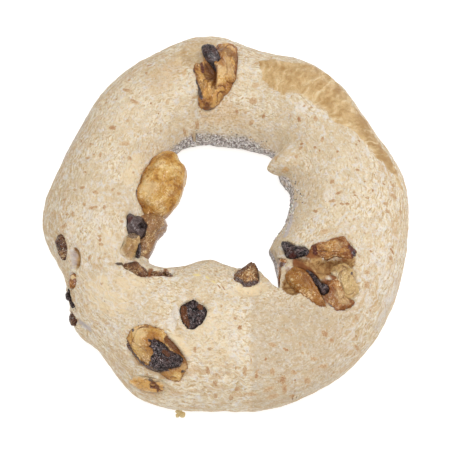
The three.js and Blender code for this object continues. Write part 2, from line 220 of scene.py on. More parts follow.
# What shows on one raisin alone: kind, half width, strength, and the points that it follows. A groove's
# and a ridge's strength is millimetres; the others are shares. Crease marks and the dark seam marks are
# painted shade, and pale marks are paler skin with painted highlights.
RAISIN_MARKS = {
    "back_husk": (
        ("char", 0.5, 0.95, (-10, 46, 21.5), (-9.3, 42.4, 23.4), (-8, 38.4, 24.5), (-7.3, 35.8, 24.6)),
        ("groove", 1.1, 1.3, (-7.6, 49.3, 23.1), (-6.8, 45.1, 25.4), (-5.9, 42.7, 26.2)),
        ("crease", 0.4, 0.5, (3.5, 43.8, 21.2), (1.1, 40.4, 24.0)),
        ("pale", 2.0, 0.5, (0.2, 47.4, 25.5), (1.4, 44.3, 25)),
        ("hollow", 1.3, 1, (-5.2, 46.9, 23.8), (-4.4, 45.2, 22), (-4.4, 43, 21.8)),
        ("hollow", 0.75, 1, (-4.4, 42.6, 21.8), (-3.8, 39.8, 23.5)),
        ("crease", 0.4, 0.8, (-2.8, 46, 25.5), (-2.6, 42.6, 26.2), (-3, 38.5, 26)),
        ("wine", 0.5, 0.9, (-7.3, 47.4, 25), (-6.9, 44.3, 25.7)),
        ("wine", 0.9, 0.6, (-6.5, 35.4, 23)),
        ("pale", 1.2, 0.7, (-1.4, 45, 26.3), (-1.1, 43.1, 26.2)),
        ("pale", 0.9, 0.6, (-2, 40.6, 26.2)),
        ("pale", 0.9, 0.6, (0.2, 48.9, 25.3), (0.8, 43.2, 25.3)),
        ("crease", 1.3, 0.8, (-1, 54, 19.5), (3, 52, 20), (4.2, 47, 19.5)),
        ("char", 0.35, 0.9, (2.6, 41.7, 22.1)),
        ("crease", 1.6, 0.9, (-5.6, 34, 21)),
    ),
    "front_husk": (
        ("groove", 0.8, 0.7, *HUSK_SPLIT),
        ("char", 0.42, 0.9, *HUSK_SPLIT),
        ("char", 0.4, 0.7, (-22.4, -34.8, 25.5), (-20, -35.8, 26.8), (-18.3, -36.6, 26.7)),
        ("char", 0.45, 1, (-26.4, -37.1, 25.8)),
        ("char", 0.35, 1, (-24.8, -35.4, 25.3)),
        ("char", 0.3, 1, (-21.6, -40.7, 27.8)),
        ("hollow", 1.3, 1, (-16.4, -40.6, 27.5), (-14.8, -42.1, 27.7), (-12.9, -43.9, 27.2)),
        ("pale", 1.2, 0.8, (-25.4, -37.6, 26.5), (-23.3, -39.1, 27.5)),
        ("pale", 1.2, 0.6, (-12.8, -47.2, 25.4), (-10.9, -47.9, 23.3)),
        ("pale", 1.8, 0.6, (-24.5, -40.1, 27.2)),
        ("crease", 0.4, 0.7, (-23.9, -42.4, 27), (-22.4, -43.3, 27)),
        ("char", 0.5, 0.9, (-12.1, -48.5, 23.3)),
    ),
    "front_char": (("hollow", 0.7, 0.8, (-17.3, -43.9, 27.5), (-16.2, -44.6, 27.3)),),
    "front_skin": (
        ("char", 0.4, 0.8, (-21.6, -50.2, 20.2), (-20.8, -50.4, 20.2)),
        ("crease", 0.3, 0.4, (-16.3, -48.6, 20), (-16, -50, 20), (-16.5, -51, 19.6), (-17.8, -51.6, 19)),
        ("pale", 1.5, 0.9, (-18, -49.6, 20)),
        ("pale", 1.3, 0.7, (-23.6, -48.6, 19.8)),
    ),
    "right_char": (("wine", 1.1, 0.8, (19.6, -14.1, 23.7)),),
    "right_edge": (
        ("char", 0.9, 0.8, (16.4, -16.3, 22.2)), ("pale", 0.5, 0.9, (17, -17.2, 21.8)),
    ),
    "right_long": (
        ("crease", 1.2, 0.5, (22.5, -22.4, 27.7), (24.8, -23.7, 27.4)),
    ),
    "right_top": (
        ("wine", 0.7, 0.9, (25.6, -11.5, 25.7), (25.9, -14, 25.7)), ("pale", 1.2, 0.6, (32.8, -12, 27.4)),
        ("wine", 0.8, 1, (36.2, -12, 25.3), (37.4, -14.2, 25), (36.6, -16, 25)),
        ("char", 0.5, 0.9, (37.2, -13.2, 24.5), (37.6, -14.8, 24.5)),
    ),
    "right_bubble": (
        ("wine", 0.4, 0.5, (31.6, -19, 25), (33.4, -17.9, 25.6), (35, -18.4, 26)),
        ("crease", 0.3, 0.5, (32.6, -20.2, 26), (34.6, -19.4, 26), (36.6, -20.2, 26), (37.4, -22, 26)),
        ("crease", 0.35, 0.7, (33.4, -19.6, 26), (33.0, -22.4, 26), (33.8, -25.0, 26)),
        ("pale", 2, 0.5, (36.2, -24.4, 26)), ("char", 0.4, 0.9, (36.4, -20.4, 26.6)),
    ),
    "right_skin": (
        ("crease", 1.7, 1, (29.3, -22.1, 25.5)), ("pale", 1.6, 0.7, (32.6, -26.4, 26), (34.2, -28.2, 25.5)),
        ("char", 0.6, 0.8, (35.4, -27.2, 25.5), (35.7, -25.6, 25.5)),
        ("char", 0.5, 0.8, (29.6, -28.9, 24), (30.8, -30.3, 24.4)),
    ),
    "left_char": (
        ("seam", 0.6, 1, (-24.8, -3.9, 22.7), (-24.2, -4.9, 22.5)), ("wine", 0.9, 0.8, (-28.2, -2.4, 22.6)),
        ("groove", 0.6, 1, (-25.1, -4.2, 22.7), (-24.4, -5.2, 22.5)), ("seam", 0.3, 0.7, (-27.6, -4.0, 22.8)),
    ),
    "left_amber": (
        ("crease", 1.2, 0.7, (-23.9, -9.7, 19.4)), ("pale", 0.6, 0.8, (-23.7, -11, 18.1)),
    ),
    "left_lobe": (
        ("char", 1.1, 0.7, (-28.2, -7.0, 22.6), (-26.2, -7.3, 22.6)), ("char", 0.7, 0.9, (-30.3, -14.3, 23.2)),
        ("crease", 0.5, 0.6, (-27.4, -9.5, 24), (-27.0, -12.0, 24)),
    ),
    "side_middle": (("pale", 0.7, 1, (-44.3, -20.2, 22.5)), ("pale", 0.7, 1, (-42.9, -19.9, 21.3))),
    "socket": (
        ("hollow", 1.5, 1, (-12.4, -31.2, 25.6), (-12.2, -33.2, 26), (-11.6, -35.6, 25.3)),
        ("hollow", 1.0, 1, (-7.2, -30, 25.5)),
    ),
    "inner_front": (("char", 0.8, 0.8, (3.6, -20.5, 21.5), (5.6, -22.6, 22.5), (9, -21.8, 22)),),
    "inner_left": (
        ("char", 0.45, 0.8, (-26.7, 6, 18.5), (-26.4, 9.5, 19.8), (-25.6, 13, 20.3), (-23.8, 17.5, 20)),
        ("crease", 1.6, 0.6, (-24.4, 4.2, 18.5)), ("pale", 2.8, 0.75, (-22.4, 7.7, 23)),
    ),
}

# What shows on the dough in one place: kind, half width, strength, and the points that it follows. The dark
# and lilac marks are painted shade, in splits, creases and folds and low on the sides, and the torn marks and
# the marks between raisins are painted shade in brown.
DOUGH_MARKS = (
    ("flour", 2.0, 0.6, (-12.2, -27.3, 26.7)),
    ("flour", 1.7, 0.75, (-14.2, -32.5, 27.1), (-15.2, -35.9, 26.9)),
    ("flour", 1.3, 0.5, (-29, 7.5, 22), (-27, 1.8, 21.5), (-22.5, -0.8, 19.5)),
    ("flour", 1.2, 0.5, (2.4, -24.2, 24.7), (3, -28.3, 26.2), (1.9, -31.5, 26.8)),
    ("flour", 1.4, 0.7, (20.8, -8.6, 23.5)),
    ("flour", 2.4, 0.6, (35.5, -7, 24.5)),
    ("flour", 2.2, 0.7, (30.5, 5, 24)),
    ("flour", 2.2, 0.8, (23, 33, 24)),
    ("flour", 3.5, 0.5, (-38, -2, 24.5)),
    ("bare", 2.6, 0.8, (-28.9, 10.6, 22.9), (-27.5, 13.8, 22.8), (-26.4, 16.5, 22.6)),
    ("bare", 1.5, 1, *HUSK_LIP),
    ("ridge", 1.2, 0.7, *HUSK_LIP),
    ("bare", 2.3, 1, (4.2, -25.4, 24.5), (7.1, -24.9, 23.8), (10.8, -24.1, 24.1)),
    ("bare", 3.4, 0.9, (-38.3, -25.1, 25.5), (-36, -23.9, 26.6)),
    ("bare", 4.2, 0.9, (-34.8, -28.3, 26.1), (-31.4, -29.4, 26.6)),
    ("bare", 3.0, 0.9, (-28.8, -23.6, 27), (-25.5, -22.5, 26.5)),
    ("bare", 3.0, 0.7, (-35.5, -8.3, 25.3), (-33.1, -12.6, 24.8)),
    ("crazed", 9, 0.6, (-38.5, -8, 25), (-35, -20, 26), (-33, -31, 25.5)),
    ("crazed", 9, 0.7, (46, -14, 21), (44, -24, 20)),
    ("crazed", 6, 0.6, (36, -38, 19), (22, -50, 18)),
    ("crazed", 7, 0.4, (12, -45, 24)),
    ("tan", 2.0, 0.5, (-21.2, -34.3, 26.4), (-19, -33.6, 26.8)),
    ("tan", 2.2, 0.5, (-21.7, -51.5, 15.3), (-17.4, -52.4, 15.3), (-13.5, -53.4, 18.4)),
    ("tan", 5, 0.6, (-20.4, 42.2, 23.9), (-17.5, 45, 23.6)),
    ("tan", 1.2, 0.7, (-37.6, -18, 25.5), (-36, -18.6, 26)),
    ("tan", 1.0, 0.8, (-12.6, 44.5, 23.6), (-12.4, 47, 22.5)),
    ("tan", 3.6, 0.6, (-4.5, 31.5, 20), (0, 33, 21), (4, 31.5, 20)),
    ("tone", 8, 1.4, (-3, -37.4, 26.9), (-0.1, -43, 26), (-7.2, -46.9, 24.2)),
    ("tone", 8, 0.7, (-30, 31, 24), (-20, 38, 24)),
    ("dark", 1.2, 0.6, (21.5, -15.0, 24.7), (23.4, -16.0, 24.7)),
    ("bare", 4.5, 0.65, (-5, -36, 26.5), (-2, -44, 25)),
    ("flour", 2.4, 0.6, (2, -38, 26.5), (3, -44, 25)),
    ("tone", 8, -0.8, (40, -28, 21), (32, -40, 20)),
    ("lilac", 3.5, 0.5, (-49, 22, 16), (-43, 33, 16)),
    ("lilac", 3, 0.5, (49, -20, 15), (43, -32, 15)),
    ("tone", 4, 1, (7.4, 43.9, 23.8), (6.5, 39.1, 23.4)),
    ("tone", 2.6, 1, (-12, 43.8, 24), (-11.1, 38.9, 23.7)),
    ("tone", 7, 0.6, (38, 12, 24.5), (36, 2, 24.5)),
    ("tone", 4, -0.9, (42, 31.5, 19), (45.6, 24.5, 19.5), (48.4, 18.6, 19.5)),
    ("tone", 9, -0.8, (15, -34.5, 26.9), (21.2, -40.2, 26.3), (30, -35.1, 24.8)),
    ("tone", 9, -0.7, (-51, 12, 16), (-52, -4, 16), (-46, 26, 16)),
    ("lilac", 1.3, 0.7, (-44.5, -12.6, 22), (-43.7, -16.2, 21.4), (-44, -18.5, 20.5)),
    ("syrup", 8, 1, (25, -19, 24), (31, -22, 24)),
    ("syrup", 4, 1, (-24, -19, 23), (-16, -20, 23)),
    ("lilac", 1.4, 0.8, *SIDE_FOLD),
    ("lilac", 1.1, 0.9, (21.1, 4.2, 17.2), (19.9, 1.3, 16.3), (19.2, -2.3, 17.5), (17.9, -6, 19.1)),
    ("tan", 1.1, 1, (15.2, 18.8, 19.3)),
    ("tan", 1.3, 1, (17.9, 14.7, 19)),
    ("rubbed", 2.6, 0.75, (20.3, 35.5, 24.6), (24.5, 32.5, 24.7), (28.4, 29.8, 24.8)),
    ("groove", 1.7, 1.0, *SIDE_FOLD),
    ("torn", 2.3, 1, (21.6, -17.3, 24.8), (24.4, -18.2, 25.7), (29.2, -17.5, 22.6), (35.7, -17.0, 24.9)),
    ("torn", 2.0, 1, (25.9, -14.8, 25.7), (27.2, -20.8, 26.2), (30.4, -19.0, 22.6)),
    ("torn", 2.0, 0.2, (16.6, -22.4, 23.5), (16.5, -25.0, 25.2)),
    ("bare", 2.2, 1, (3.0, -25.6, 25.3), (6.5, -25.9, 24.2), (9.4, -25.0, 24.1)),
    ("dark", 0.5, 0.9, (-32.4, -16.9, 25.5), (-29.7, -17.2, 25.6), (-25.5, -18.6, 25)),
    ("dark", 0.5, 1, *SIDE_SPLIT),
    ("groove", 0.7, 1.2, *SIDE_SPLIT),
    ("dark", 0.25, 0.8, *BUBBLE_TAIL),
    ("groove", 0.4, 0.4, *BUBBLE_TAIL),
)

# How each raisin differs from others of its finish. MERGED is how far its edge is lost in the floury dough
# round it, WAN how far it has taken the colour of the dough, FOLDED how much of the finish's folding it shows,
# and PALER how much paler it is.
MERGED = {"left_lobe": 0.85, "right_bubble": 0.85, "front_skin": 0.9}
WAN = {"left_lobe": 0.65, "left_amber": 0.4, "right_bubble": 0.6, "left_char": 0.45}
FOLDED = {"inner_left": 0.35, "left_lobe": 1.0, "left_amber": 0.7, "right_bubble": 1.5, "right_long": 0.9,
          "left_char": 0.6, "back_husk": 1.2, "right_skin": 1.5, "right_top": 1.3, "front_skin": 1.9}
PALER = {"inner_left": 0.5, "left_lobe": -0.2, "left_amber": -1.4, "right_bubble": 1.6, "back_husk": 1.2,
         "join_tip": 0.3, "right_top": -0.3, "front_skin": 2.2, "inner_front": 0.5, "right_long": -1.6,
         "right_skin": 0.3, "front_husk": 1.2, "side_upper": -0.6, "side_lower": -0.4}

# The glazed patch at the back right, and a paler one at the back left, between an inner and an outer edge:
# heading in degrees, then each edge's distance from the middle of the ring.
GLAZE = (
    (9, 53.6, 54.2), (13, 52.6, 54), (16, 51.2, 53.6), (18.8, 49.4, 53.2), (24.4, 48.2, 52.6),
    (28.6, 47.3, 52.3), (32.9, 46.7, 52.6), (38.3, 43.7, 53), (42.5, 42.4, 53.2), (46.4, 41.2, 54.6),
    (50, 41.2, 55.8), (55.9, 41, 57), (60.3, 40.9, 56.3), (65.9, 41.2, 54.6), (72.5, 41.9, 52.6),
    (75, 43.5, 51.8), (77, 47, 51.1), (78.5, 49.5, 50.2),
)
GLAZE_LEFT = ((92.5, 52, 58), (96, 48, 57.7), (101.6, 46.6, 57), (105.9, 48.6, 55.6), (110.4, 50.4, 53.4))

# The crease between the lapped ends, from the hole to the outer side.
CREASE = ((-16, -19, 22), (-21, -19, 25), (-28, -17.5, 26), (-34, -16.8, 26), (-39, -17.5, 25),
          (-44, -19.5, 21), (-49, -21, 13))

# Flakes of bran that can be told apart: x, y, length, width, and where they aren't as usual, heading and how
# dark it is.
BRAN_USUAL = (0, 0.4)
BRAN = (
    (-29.4, 43.2, 1.2, 1, 40), (-29.9, 39.2, 3.6, 1.6, -30, 0.35), (-27.5, 34.9, 3.3, 1.6, -30),
    (-23.3, 48.4, 2.1, 0.6, 20, 0.8), (-24.1, 45.3, 1.2, 1.6), (-33.8, 26.1, 2.7, 1.9, 0, 0.6),
    (-30.1, 21, 3.6, 1.6, 0, 0.2), (-40.1, 21.1, 1.5, 1, -30), (-22.5, 34.5, 0.6, 1, 0, 0.95),
    (-20.2, 31.6, 0.6, 0.6, 0, 0.8), (-28.6, 16.7, 1.5, 1.6, 0, 0.35), (-17.6, 35, 1.2, 1.6, 0, 0.15),
    (-39.2, 17.5, 0.9, 0.6, 0, 0.6), (-29.3, 28.5, 1.5, 1.3, 0, 0.1), (-8.6, 30.1, 1.5, 2.6, 0, 0.35),
    (-12.5, 28.2, 0.9, 2.2), (-9.7, 27.7, 1.2, 1), (-43.4, 23.2, 0.6, 1, 0, 0.7), (-41, 16.6, 1.8, 1, 10),
    (-37.2, 17.3, 0.9, 2.2), (-41.7, 12, 1.2, 1), (-42.3, 7.1, 1.8, 1.3), (-44.6, 6.8, 1.2, 1),
    (-38.3, 5.4, 2.1, 1.3), (-33.4, 6.3, 0.9, 1.3), (-31.5, 5.4, 1.5, 1.1), (-47.7, 4.1, 1.8, 1, 10),
    (-39.3, 0.4, 2.1, 1.3, 20), (-35.7, 0.3, 0.9, 1, 0, 0.6), (-45, -1, 0.9, 1.9), (-46.6, -1, 1.2, 1),
    (-47.3, -4.4, 2.1, 1.6, 20), (-36.5, -9.8, 0.9, 1.3, 0, 0.6), (-36.1, -11.2, 1.5, 1.3),
    (-30.5, -3.3, 1.5, 1), (-39.3, -15.4, 1.2, 2.6, -20), (-8.7, -42.7, 1.2, 1.9),
    (4.1, -36.8, 1.5, 1.6, 0, 0.7), (2.8, -34.1, 1.2, 1), (-4.4, -42.7, 1.5, 1), (-5, -48.4, 1.2, 2.6, 10, 0.5),
    (-2.9, -51.7, 1.5, 1.6, 0, 0.6), (-2.4, -49.5, 1.5, 1), (3.4, -53.1, 2.1, 1.3), (5.5, -48.7, 1.5, 3.2),
    (8.8, -49.7, 1.1, 2.6, 0, 0.6), (2.9, -47.9, 0.6, 1.3), (7.3, -46.1, 0.6, 1.9), (-2.8, -54.6, 1.5, 1.3),
    (1.6, -55.1, 1.8, 1.3), (7.1, -54.3, 4.8, 1, 0, 0.3), (13.3, -41.6, 2.4, 1.6, -20, 0.45),
    (17.1, -42.8, 1.8, 1, -20, 0.6), (21.3, -41.1, 0.9, 1.6), (11.4, -45.4, 0.8, 1.3, 0, 0.7),
    (13.3, -48.7, 1.8, 2.2), (16.3, -50.7, 2.1, 2.6, 0, 0.6), (16.8, -52.8, 1.8, 2.9, 10),
    (23.4, -50.2, 2.1, 2.2), (28.4, -37.7, 2.4, 1.9, -30, 0.55), (30.4, -39.4, 1.5, 1.6, 30),
    (37.7, -32.5, 1.2, 2.2, 20), (37.6, -37.3, 0.6, 0.6, 0, 0.8), (37.9, -40, 2.4, 1.3, -40),
    (25.3, -44.7, 2.4, 1.3), (28, -46.3, 3, 1.3, 15), (19.4, -48.7, 2.1, 1.3), (24.9, -47.7, 0.6, 1),
    (19.8, -50.6, 0.6, 0.6, 0, 0.9), (12.2, -53.1, 4.2, 1.3, 15, 0.25), (13.5, -54.7, 4.2, 1.3, 12, 0.25),
    (19.3, -54.2, 2.1, 1, 10), (22, -43.5, 0.9, 1), (17.4, -37.3, 1.2, 0.6), (14.8, -37.3, 0.8, 0.6),
    (31.5, 8.8, 1.8, 1.3, 25, 0.55), (33.4, 5.3, 2.4, 1, 25, 0.55), (31.5, 2.8, 2.4, 1.3, 5),
    (34.3, 1.6, 1.5, 1, -10, 0.5), (35.8, 1.6, 1.5, 1, 0, 0.5), (26.6, 0.2, 1.8, 1, -15, 0.6),
    (29, -6.9, 3.9, 1.9, 5, 0.15), (50, 5.5, 2.4, 1.9, -40), (49.9, 9.1, 1.5, 1.3), (47.2, 2.6, 1.5, 1.3, 30),
    (47.9, 0.4, 1.5, 1.3), (52.1, 1.5, 0.9, 1.6), (43.5, 6.2, 0.9, 0.8, 0, 0.8), (41.1, 8.8, 0.8, 0.6, 0, 0.7),
    (38.2, 4.4, 0.9, 0.6, 0, 0.7), (41.8, 3.8, 1.2, 1), (47, 8.7, 0.9, 0.6, 0, 0.8),
    (48.9, -11.5, 0.9, 2.2, 30, 0.8), (48.4, -13.7, 1.8, 1.6), (42.3, -12.8, 0.9, 0.6, -20, 0.9),
    (41, -19.2, 1.8, 1.6), (40.9, -22.9, 1.8, 2.6), (9.6, 48.4, 1.8, 1), (22.1, 29.2, 1.2, 1.9, 0, 1),
    (27, 28.9, 1.8, 1.9), (11.6, 31.4, 1.2, 1.6, 0, 0.6), (7.9, 30.2, 1.8, 1.6), (6.1, 32.8, 0.9, 1),
    (3.4, 33.2, 1.2, 1.6, 0, 0.5), (39.9, 22.4, 0.9, 1, 0, 0.7), (39.1, 21, 0.8, 0.8, 0, 0.7),
    (33.3, 18.3, 0.9, 1, 0, 0.7), (22.8, 21.6, 1.1, 1, 0, 0.7), (22.4, 20.3, 1.2, 1.3),
    (26.7, 20, 0.9, 1.3, 20, 0.6), (28, 19, 0.6, 1, 0, 0.8), (21.2, 17.8, 1.2, 1.3),
    (28.9, 22.2, 1.2, 1.9, -20), (9.1, 40.6, 2.7, 1.9, 0, 0.1), (8.4, 35.8, 2.7, 2.6, 0, 0.3),
    (39.1, 12.5, 1.2, 1, 0, 0.6), (-8.3, -20.1, 2.6, 1, 5, -0.6), (-5.2, -21, 1.9, 0.8, -35, -0.5),
    (-3.4, -22.4, 1.9, 0.7, -30, -0.6), (-1.9, -23.8, 1.8, 0.5, -55, 0.7), (-0.6, -24.3, 2, 0.5, -62, 0.7),
)

# A crumb on the floor in front of the bread: x, y, z and radius of its lumps.
CRUMB = ((-13.7, -55.0, 0.9, 1.0), (-12.7, -55.9, 0.7, 0.9), (-14.2, -56.1, 0.5, 0.6))

# Meal on the inner wall: heading and breadth in degrees round the ring, how thickly it lies, highest point.
MEAL = ((95, 46, 1.0, 17), (8, 36, 0.6, 21))
MEAL_SEED = 11
GRAINS_AT_MOST = 6e6                                # grains to a square metre, before the spacing thins them
GRAIN_SHAPES = ((0.7, 0.5, 0.4), (1.3, 1.0, 0.9))   # least and greatest length, width and height, as shares
GRAIN_TILT = 0.4                                    # radians


def linear(code):
    """Scene-linear colour of an sRGB hex code."""
    parts = [int(code[i:i + 2], 16) / 255 for i in (1, 3, 5)]
    return tuple(p / 12.92 if p <= 0.04045 else ((p + 0.055) / 1.055) ** 2.4 for p in parts)


def eased(value, low, high):
    """0 below low, 1 above high, and a smooth step between; low may be the larger."""
    share = np.clip((value - low) / (high - low), 0, 1)
    return share * share * (3 - 2 * share)


def scatter(cell, seed):
    """An even random number from 0 to 1 for each cell of whole numbers."""
    mixed = (cell[..., 0] * 73856093) ^ (cell[..., 1] * 19349663) ^ (cell[..., 2] * 83492791)
    mixed = (mixed ^ (seed * 2654435761)) & 0xFFFFFFFF
    for shift, factor in ((16, 0x7FEB352D), (15, 0x846CA68B)):
        mixed = ((mixed ^ (mixed >> shift)) * factor) & 0xFFFFFFFF
    return (mixed ^ (mixed >> 16)) / 0xFFFFFFFF


def noise(points, seed):
    """Smooth noise from -1 to 1 with cells of 1."""
    cell = np.floor(points).astype(np.int64)
    part = points - cell
    ease = part ** 3 * (part * (part * 6 - 15) + 10)
    total = np.zeros(points.shape[:-1])
    for corner in np.ndindex(2, 2, 2):
        share = np.prod(np.where(corner, ease, 1 - ease), axis=-1)
        total += share * scatter(cell + corner, seed)
    return 2 * total - 1


def layered(points, layers, seed):
    """Noise in layers, each half as strong and twice as fine as the one before."""
    return sum(noise(points * 2 ** i, seed + 17 * i) / 2 ** i for i in range(layers))


def blisters(points, seed):
    """1 at the middle of scattered round blisters in cells of 1, falling to 0 between them."""
    cell = np.floor(points).astype(np.int64)
    nearest = np.full(points.shape[:-1], 9.0)
    for step in np.ndindex(3, 3, 3):
        other = cell + np.array(step) - 1
        spot = np.stack([scatter(other, seed + axis) for axis in (1, 2, 3)], axis=-1)
        nearest = np.minimum(nearest, np.sum((other + spot - points) ** 2, axis=-1))
    return 1 - np.clip(np.sqrt(nearest), 0, 1)


def distance_to(points, line):
    """Distance from each point to a line through some points, or to one point."""
    line = np.asarray(line, float)
    if len(line) == 1:
        return np.linalg.norm(points - line[0], axis=-1)
    nearest = np.full(points.shape[:-1], 1e9)
    for start, end in zip(line[:-1], line[1:]):
        along = end - start
        share = np.clip((points - start) @ along / (along @ along), 0, 1)
        nearest = np.minimum(nearest, np.linalg.norm(points - start - share[..., None] * along, axis=-1))
    return nearest


def turned(egg):
    """The axes of an egg as the columns of a matrix."""
    heading, lean, roll = (math.radians(egg[i]) for i in (6, 7, 8))
    around_x = np.array(((1, 0, 0), (0, math.cos(roll), -math.sin(roll)), (0, math.sin(roll), math.cos(roll))))
    around_y = np.array(((math.cos(lean), 0, math.sin(lean)), (0, 1, 0), (-math.sin(lean), 0, math.cos(lean))))
    around_z = np.array(((math.cos(heading), -math.sin(heading), 0),
                         (math.sin(heading), math.cos(heading), 0), (0, 0, 1)))
    return around_z @ around_y @ around_x


def trimmed(egg, offset, back=False):
    """Offsets from an egg's middle, drawn in or out as TRIMS says for it, or with back the other way."""
    trim = TRIM_OF.get(egg)
    if trim is None:
        return offset
    right, up, *corners = trim
    level = offset @ VIEW_UP - up
    side = offset[..., 0] - right
    share = np.interp(np.degrees(np.arctan2(level, side)), *np.array(corners).T, period=360)
    change = (1 / share if back else share) - 1
    moved = (level * change)[..., None] * VIEW_UP
    moved[..., 0] = side * change
    return offset + moved


def depth_in(egg, points):
    """Below 1 inside an egg, 1 on its skin and above 1 outside it."""
    half = np.array(egg[3:6]) / 2
    local = trimmed(egg, points - np.array(egg[:3]), back=True) @ turned(egg) / half
    girth = 1 - egg[9] * np.clip(local[..., 0], -1, 1)
    return np.sqrt(local[..., 0] ** 2 + (local[..., 1] ** 2 + local[..., 2] ** 2) / girth ** 2)


def marked(points, marks, kind, wobble=0.0, seen=None):
    """The strongest mark of a kind at each point; with seen, as near as the camera sees it."""
    if seen is not None:
        points = points @ seen
    best = np.zeros(points.shape[:-1])
    for name, width, strength, *line in marks:
        if name == kind:
            line = np.array(line, float) if seen is None else np.array(line, float) @ seen
            away = distance_to(points, line) / width + wobble
            share = strength * eased(away, 1.35, 0.65)
            best = np.where(np.abs(share) > np.abs(best), share, best)
    return best


def finished(name, points, faces, values, material, uv=None):
    """A smooth mesh object from points in millimetres in the ring's frame, riding on the bread."""
    mesh = bpy.data.meshes.new(name)
    mesh.from_pydata((points - MIDDLE) * MM, [], faces)
    mesh.shade_smooth()
    for attribute, value in values.items():
        made = mesh.attributes.new(attribute, "FLOAT", "POINT")
        made.data.foreach_set("value", np.ascontiguousarray(value, np.float32).ravel())
    if uv is not None:
        layer = mesh.uv_layers.new(name="rope")
        layer.data.foreach_set("uv", np.ascontiguousarray(uv, np.float32).ravel())
    mesh.materials.append(material)
    piece = bpy.data.objects.new(name, mesh)
    bpy.context.scene.collection.objects.link(piece)
    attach(piece, BODY)
    return piece


# ---------------------------------------------------------------- the rope of dough

def rope_sizes(turn):
    """Inner side, outer side and height of the rope, on a closed smooth curve through ROPE."""
    at = turn * len(ROPE)
    low = np.floor(at).astype(int)
    part = (at - low)[..., None]
    before, here, after, later = (ROPE[(low + step) % len(ROPE)] for step in (-1, 0, 1, 2))
    start, end = (after - before) / 2, (later - here) / 2
    square, cube = part ** 2, part ** 3
    return here + start * part + (3 * (after - here) - 2 * start - end) * square \
        + (2 * (here - after) + start + end) * cube


def rope_points(heading, angle):
    """Points of the rope's skin at headings round the ring and angles round the section."""
    raised = np.zeros_like(heading)
    for centre, breadth, side, rise in SWELLINGS:
        away = heading - math.radians(centre)
        near = np.arctan2(np.sin(away), np.cos(away)) / math.radians(breadth)
        across = np.maximum(0, np.cos(angle - math.radians(side)))
        raised += rise * np.exp(-near ** 2 / 2) * across ** 2
    inner, outer, height = np.moveaxis(rope_sizes(heading / math.tau % 1), -1, 0)
    waves = np.sin(SLOW_WAVES * heading + 2 * angle) + np.sin(QUICK_WAVES * heading - angle + 1)
    swell = 1 + UNEVEN * waves
    waist = WAIST * height
    reach = (outer + inner) / 2 + (swell * (outer - inner) / 2 + raised) * np.cos(angle)
    rise = np.where(np.sin(angle) > 0, height - waist, SETTLE * waist)
    level = np.maximum(0, waist + (swell * rise + raised) * np.sin(angle))
    return np.stack((reach * np.cos(heading), reach * np.sin(heading), level), axis=-1)


def normals_of(grid):
    """Outward normals of a closed grid of points."""
    along = np.roll(grid, -1, 0) - np.roll(grid, 1, 0)
    across = np.roll(grid, -1, 1) - np.roll(grid, 1, 1)
    normal = np.cross(along, across)
    return normal / np.maximum(np.linalg.norm(normal, axis=-1, keepdims=True), 1e-9)


def pushed_out(points, directions, eggs, limit, step):
    """Points inside an egg, moved along their directions until they are out of it."""
    moved = np.zeros(points.shape[:-1])
    for egg in eggs:
        reach = max(egg[3:6]) * 0.8
        near = np.linalg.norm((points - np.array(egg[:3]))[..., :2], axis=-1) < reach
        spot, way, gone = points[near], directions[near], moved[near]
        for _ in range(int(2 * reach / step)):
            inside = depth_in(egg, spot) < limit
            if not inside.any():
                break
            spot[inside] += way[inside] * step
            gone[inside] += step
        points[near], moved[near] = spot, gone
    return moved


def evened(grid, share, rounds):
    """Eases the points of a closed grid towards the middle of their neighbours, where share is above 0."""
    for _ in range(rounds):
        middle = sum(np.roll(grid, step, axis) for axis in (0, 1) for step in (-1, 1)) / 4
        grid += (middle - grid) * share[..., None] / 2


def spread(mask, rounds):
    """A mask on a closed grid, grown by some steps."""
    for _ in range(rounds):
        mask = np.maximum.reduce([mask] + [np.roll(mask, step, axis) for axis in (0, 1) for step in (-1, 1)])
    return mask


def notched(grid, heading):
    """Brings the inner side out to the far wall of the torn notch."""
    inner = np.linalg.norm(grid[..., :2], axis=-1)
    way = np.stack((np.cos(heading), np.sin(heading), np.zeros_like(heading)), axis=-1)
    wall = np.zeros_like(inner)
    for radius in np.arange(10, 40, 0.2):
        wall = np.where(depth_in(NOTCH, way * radius + (0, 0, 1) * grid[..., 2:]) < 1, radius, wall)
    cut = inner < wall
    radius = np.where(cut, wall + 0.06 * (inner - wall), inner)
    grid[..., :2] = way[..., :2] * radius[..., None]
    return cut


def spurred(grid, heading):
    """Draws the inner side in over the spur."""
    radius = np.linalg.norm(grid[..., :2], axis=-1)
    way = np.stack((np.cos(heading), np.sin(heading), np.zeros_like(heading)), axis=-1)
    near = (np.linalg.norm((grid - np.array(SPUR[:3]))[..., :2], axis=-1) < 14) & (radius < 34)
    best = radius.copy()
    for step in np.arange(0, 16, 0.2):
        spot = way * (radius - step)[..., None] + (0, 0, 1) * grid[..., 2:]
        best = np.where(near & (depth_in(SPUR, spot) < 1), radius - step, best)
    grid[..., :2] = way[..., :2] * best[..., None]
    return radius - best


POCKET = 0.92          # how far out of an egg the dough stops, as depth_in has it
OPEN_POCKET = 1.02     # the same for the raisin in its socket
STEP = 0.2             # mm that the dough's skin is pushed at a time
FINE_STEP = 0.1        # the same for a raisin's skin
FLOOR_KEPT = 2.0       # mm of dough left under a pocket
LIP = (0.42, 0.75, 0.45)   # height, distance and breadth in mm of the raised lip round a raisin
CREASE_CUT = (1.7, 0.95)   # depth and half width of the crease in mm


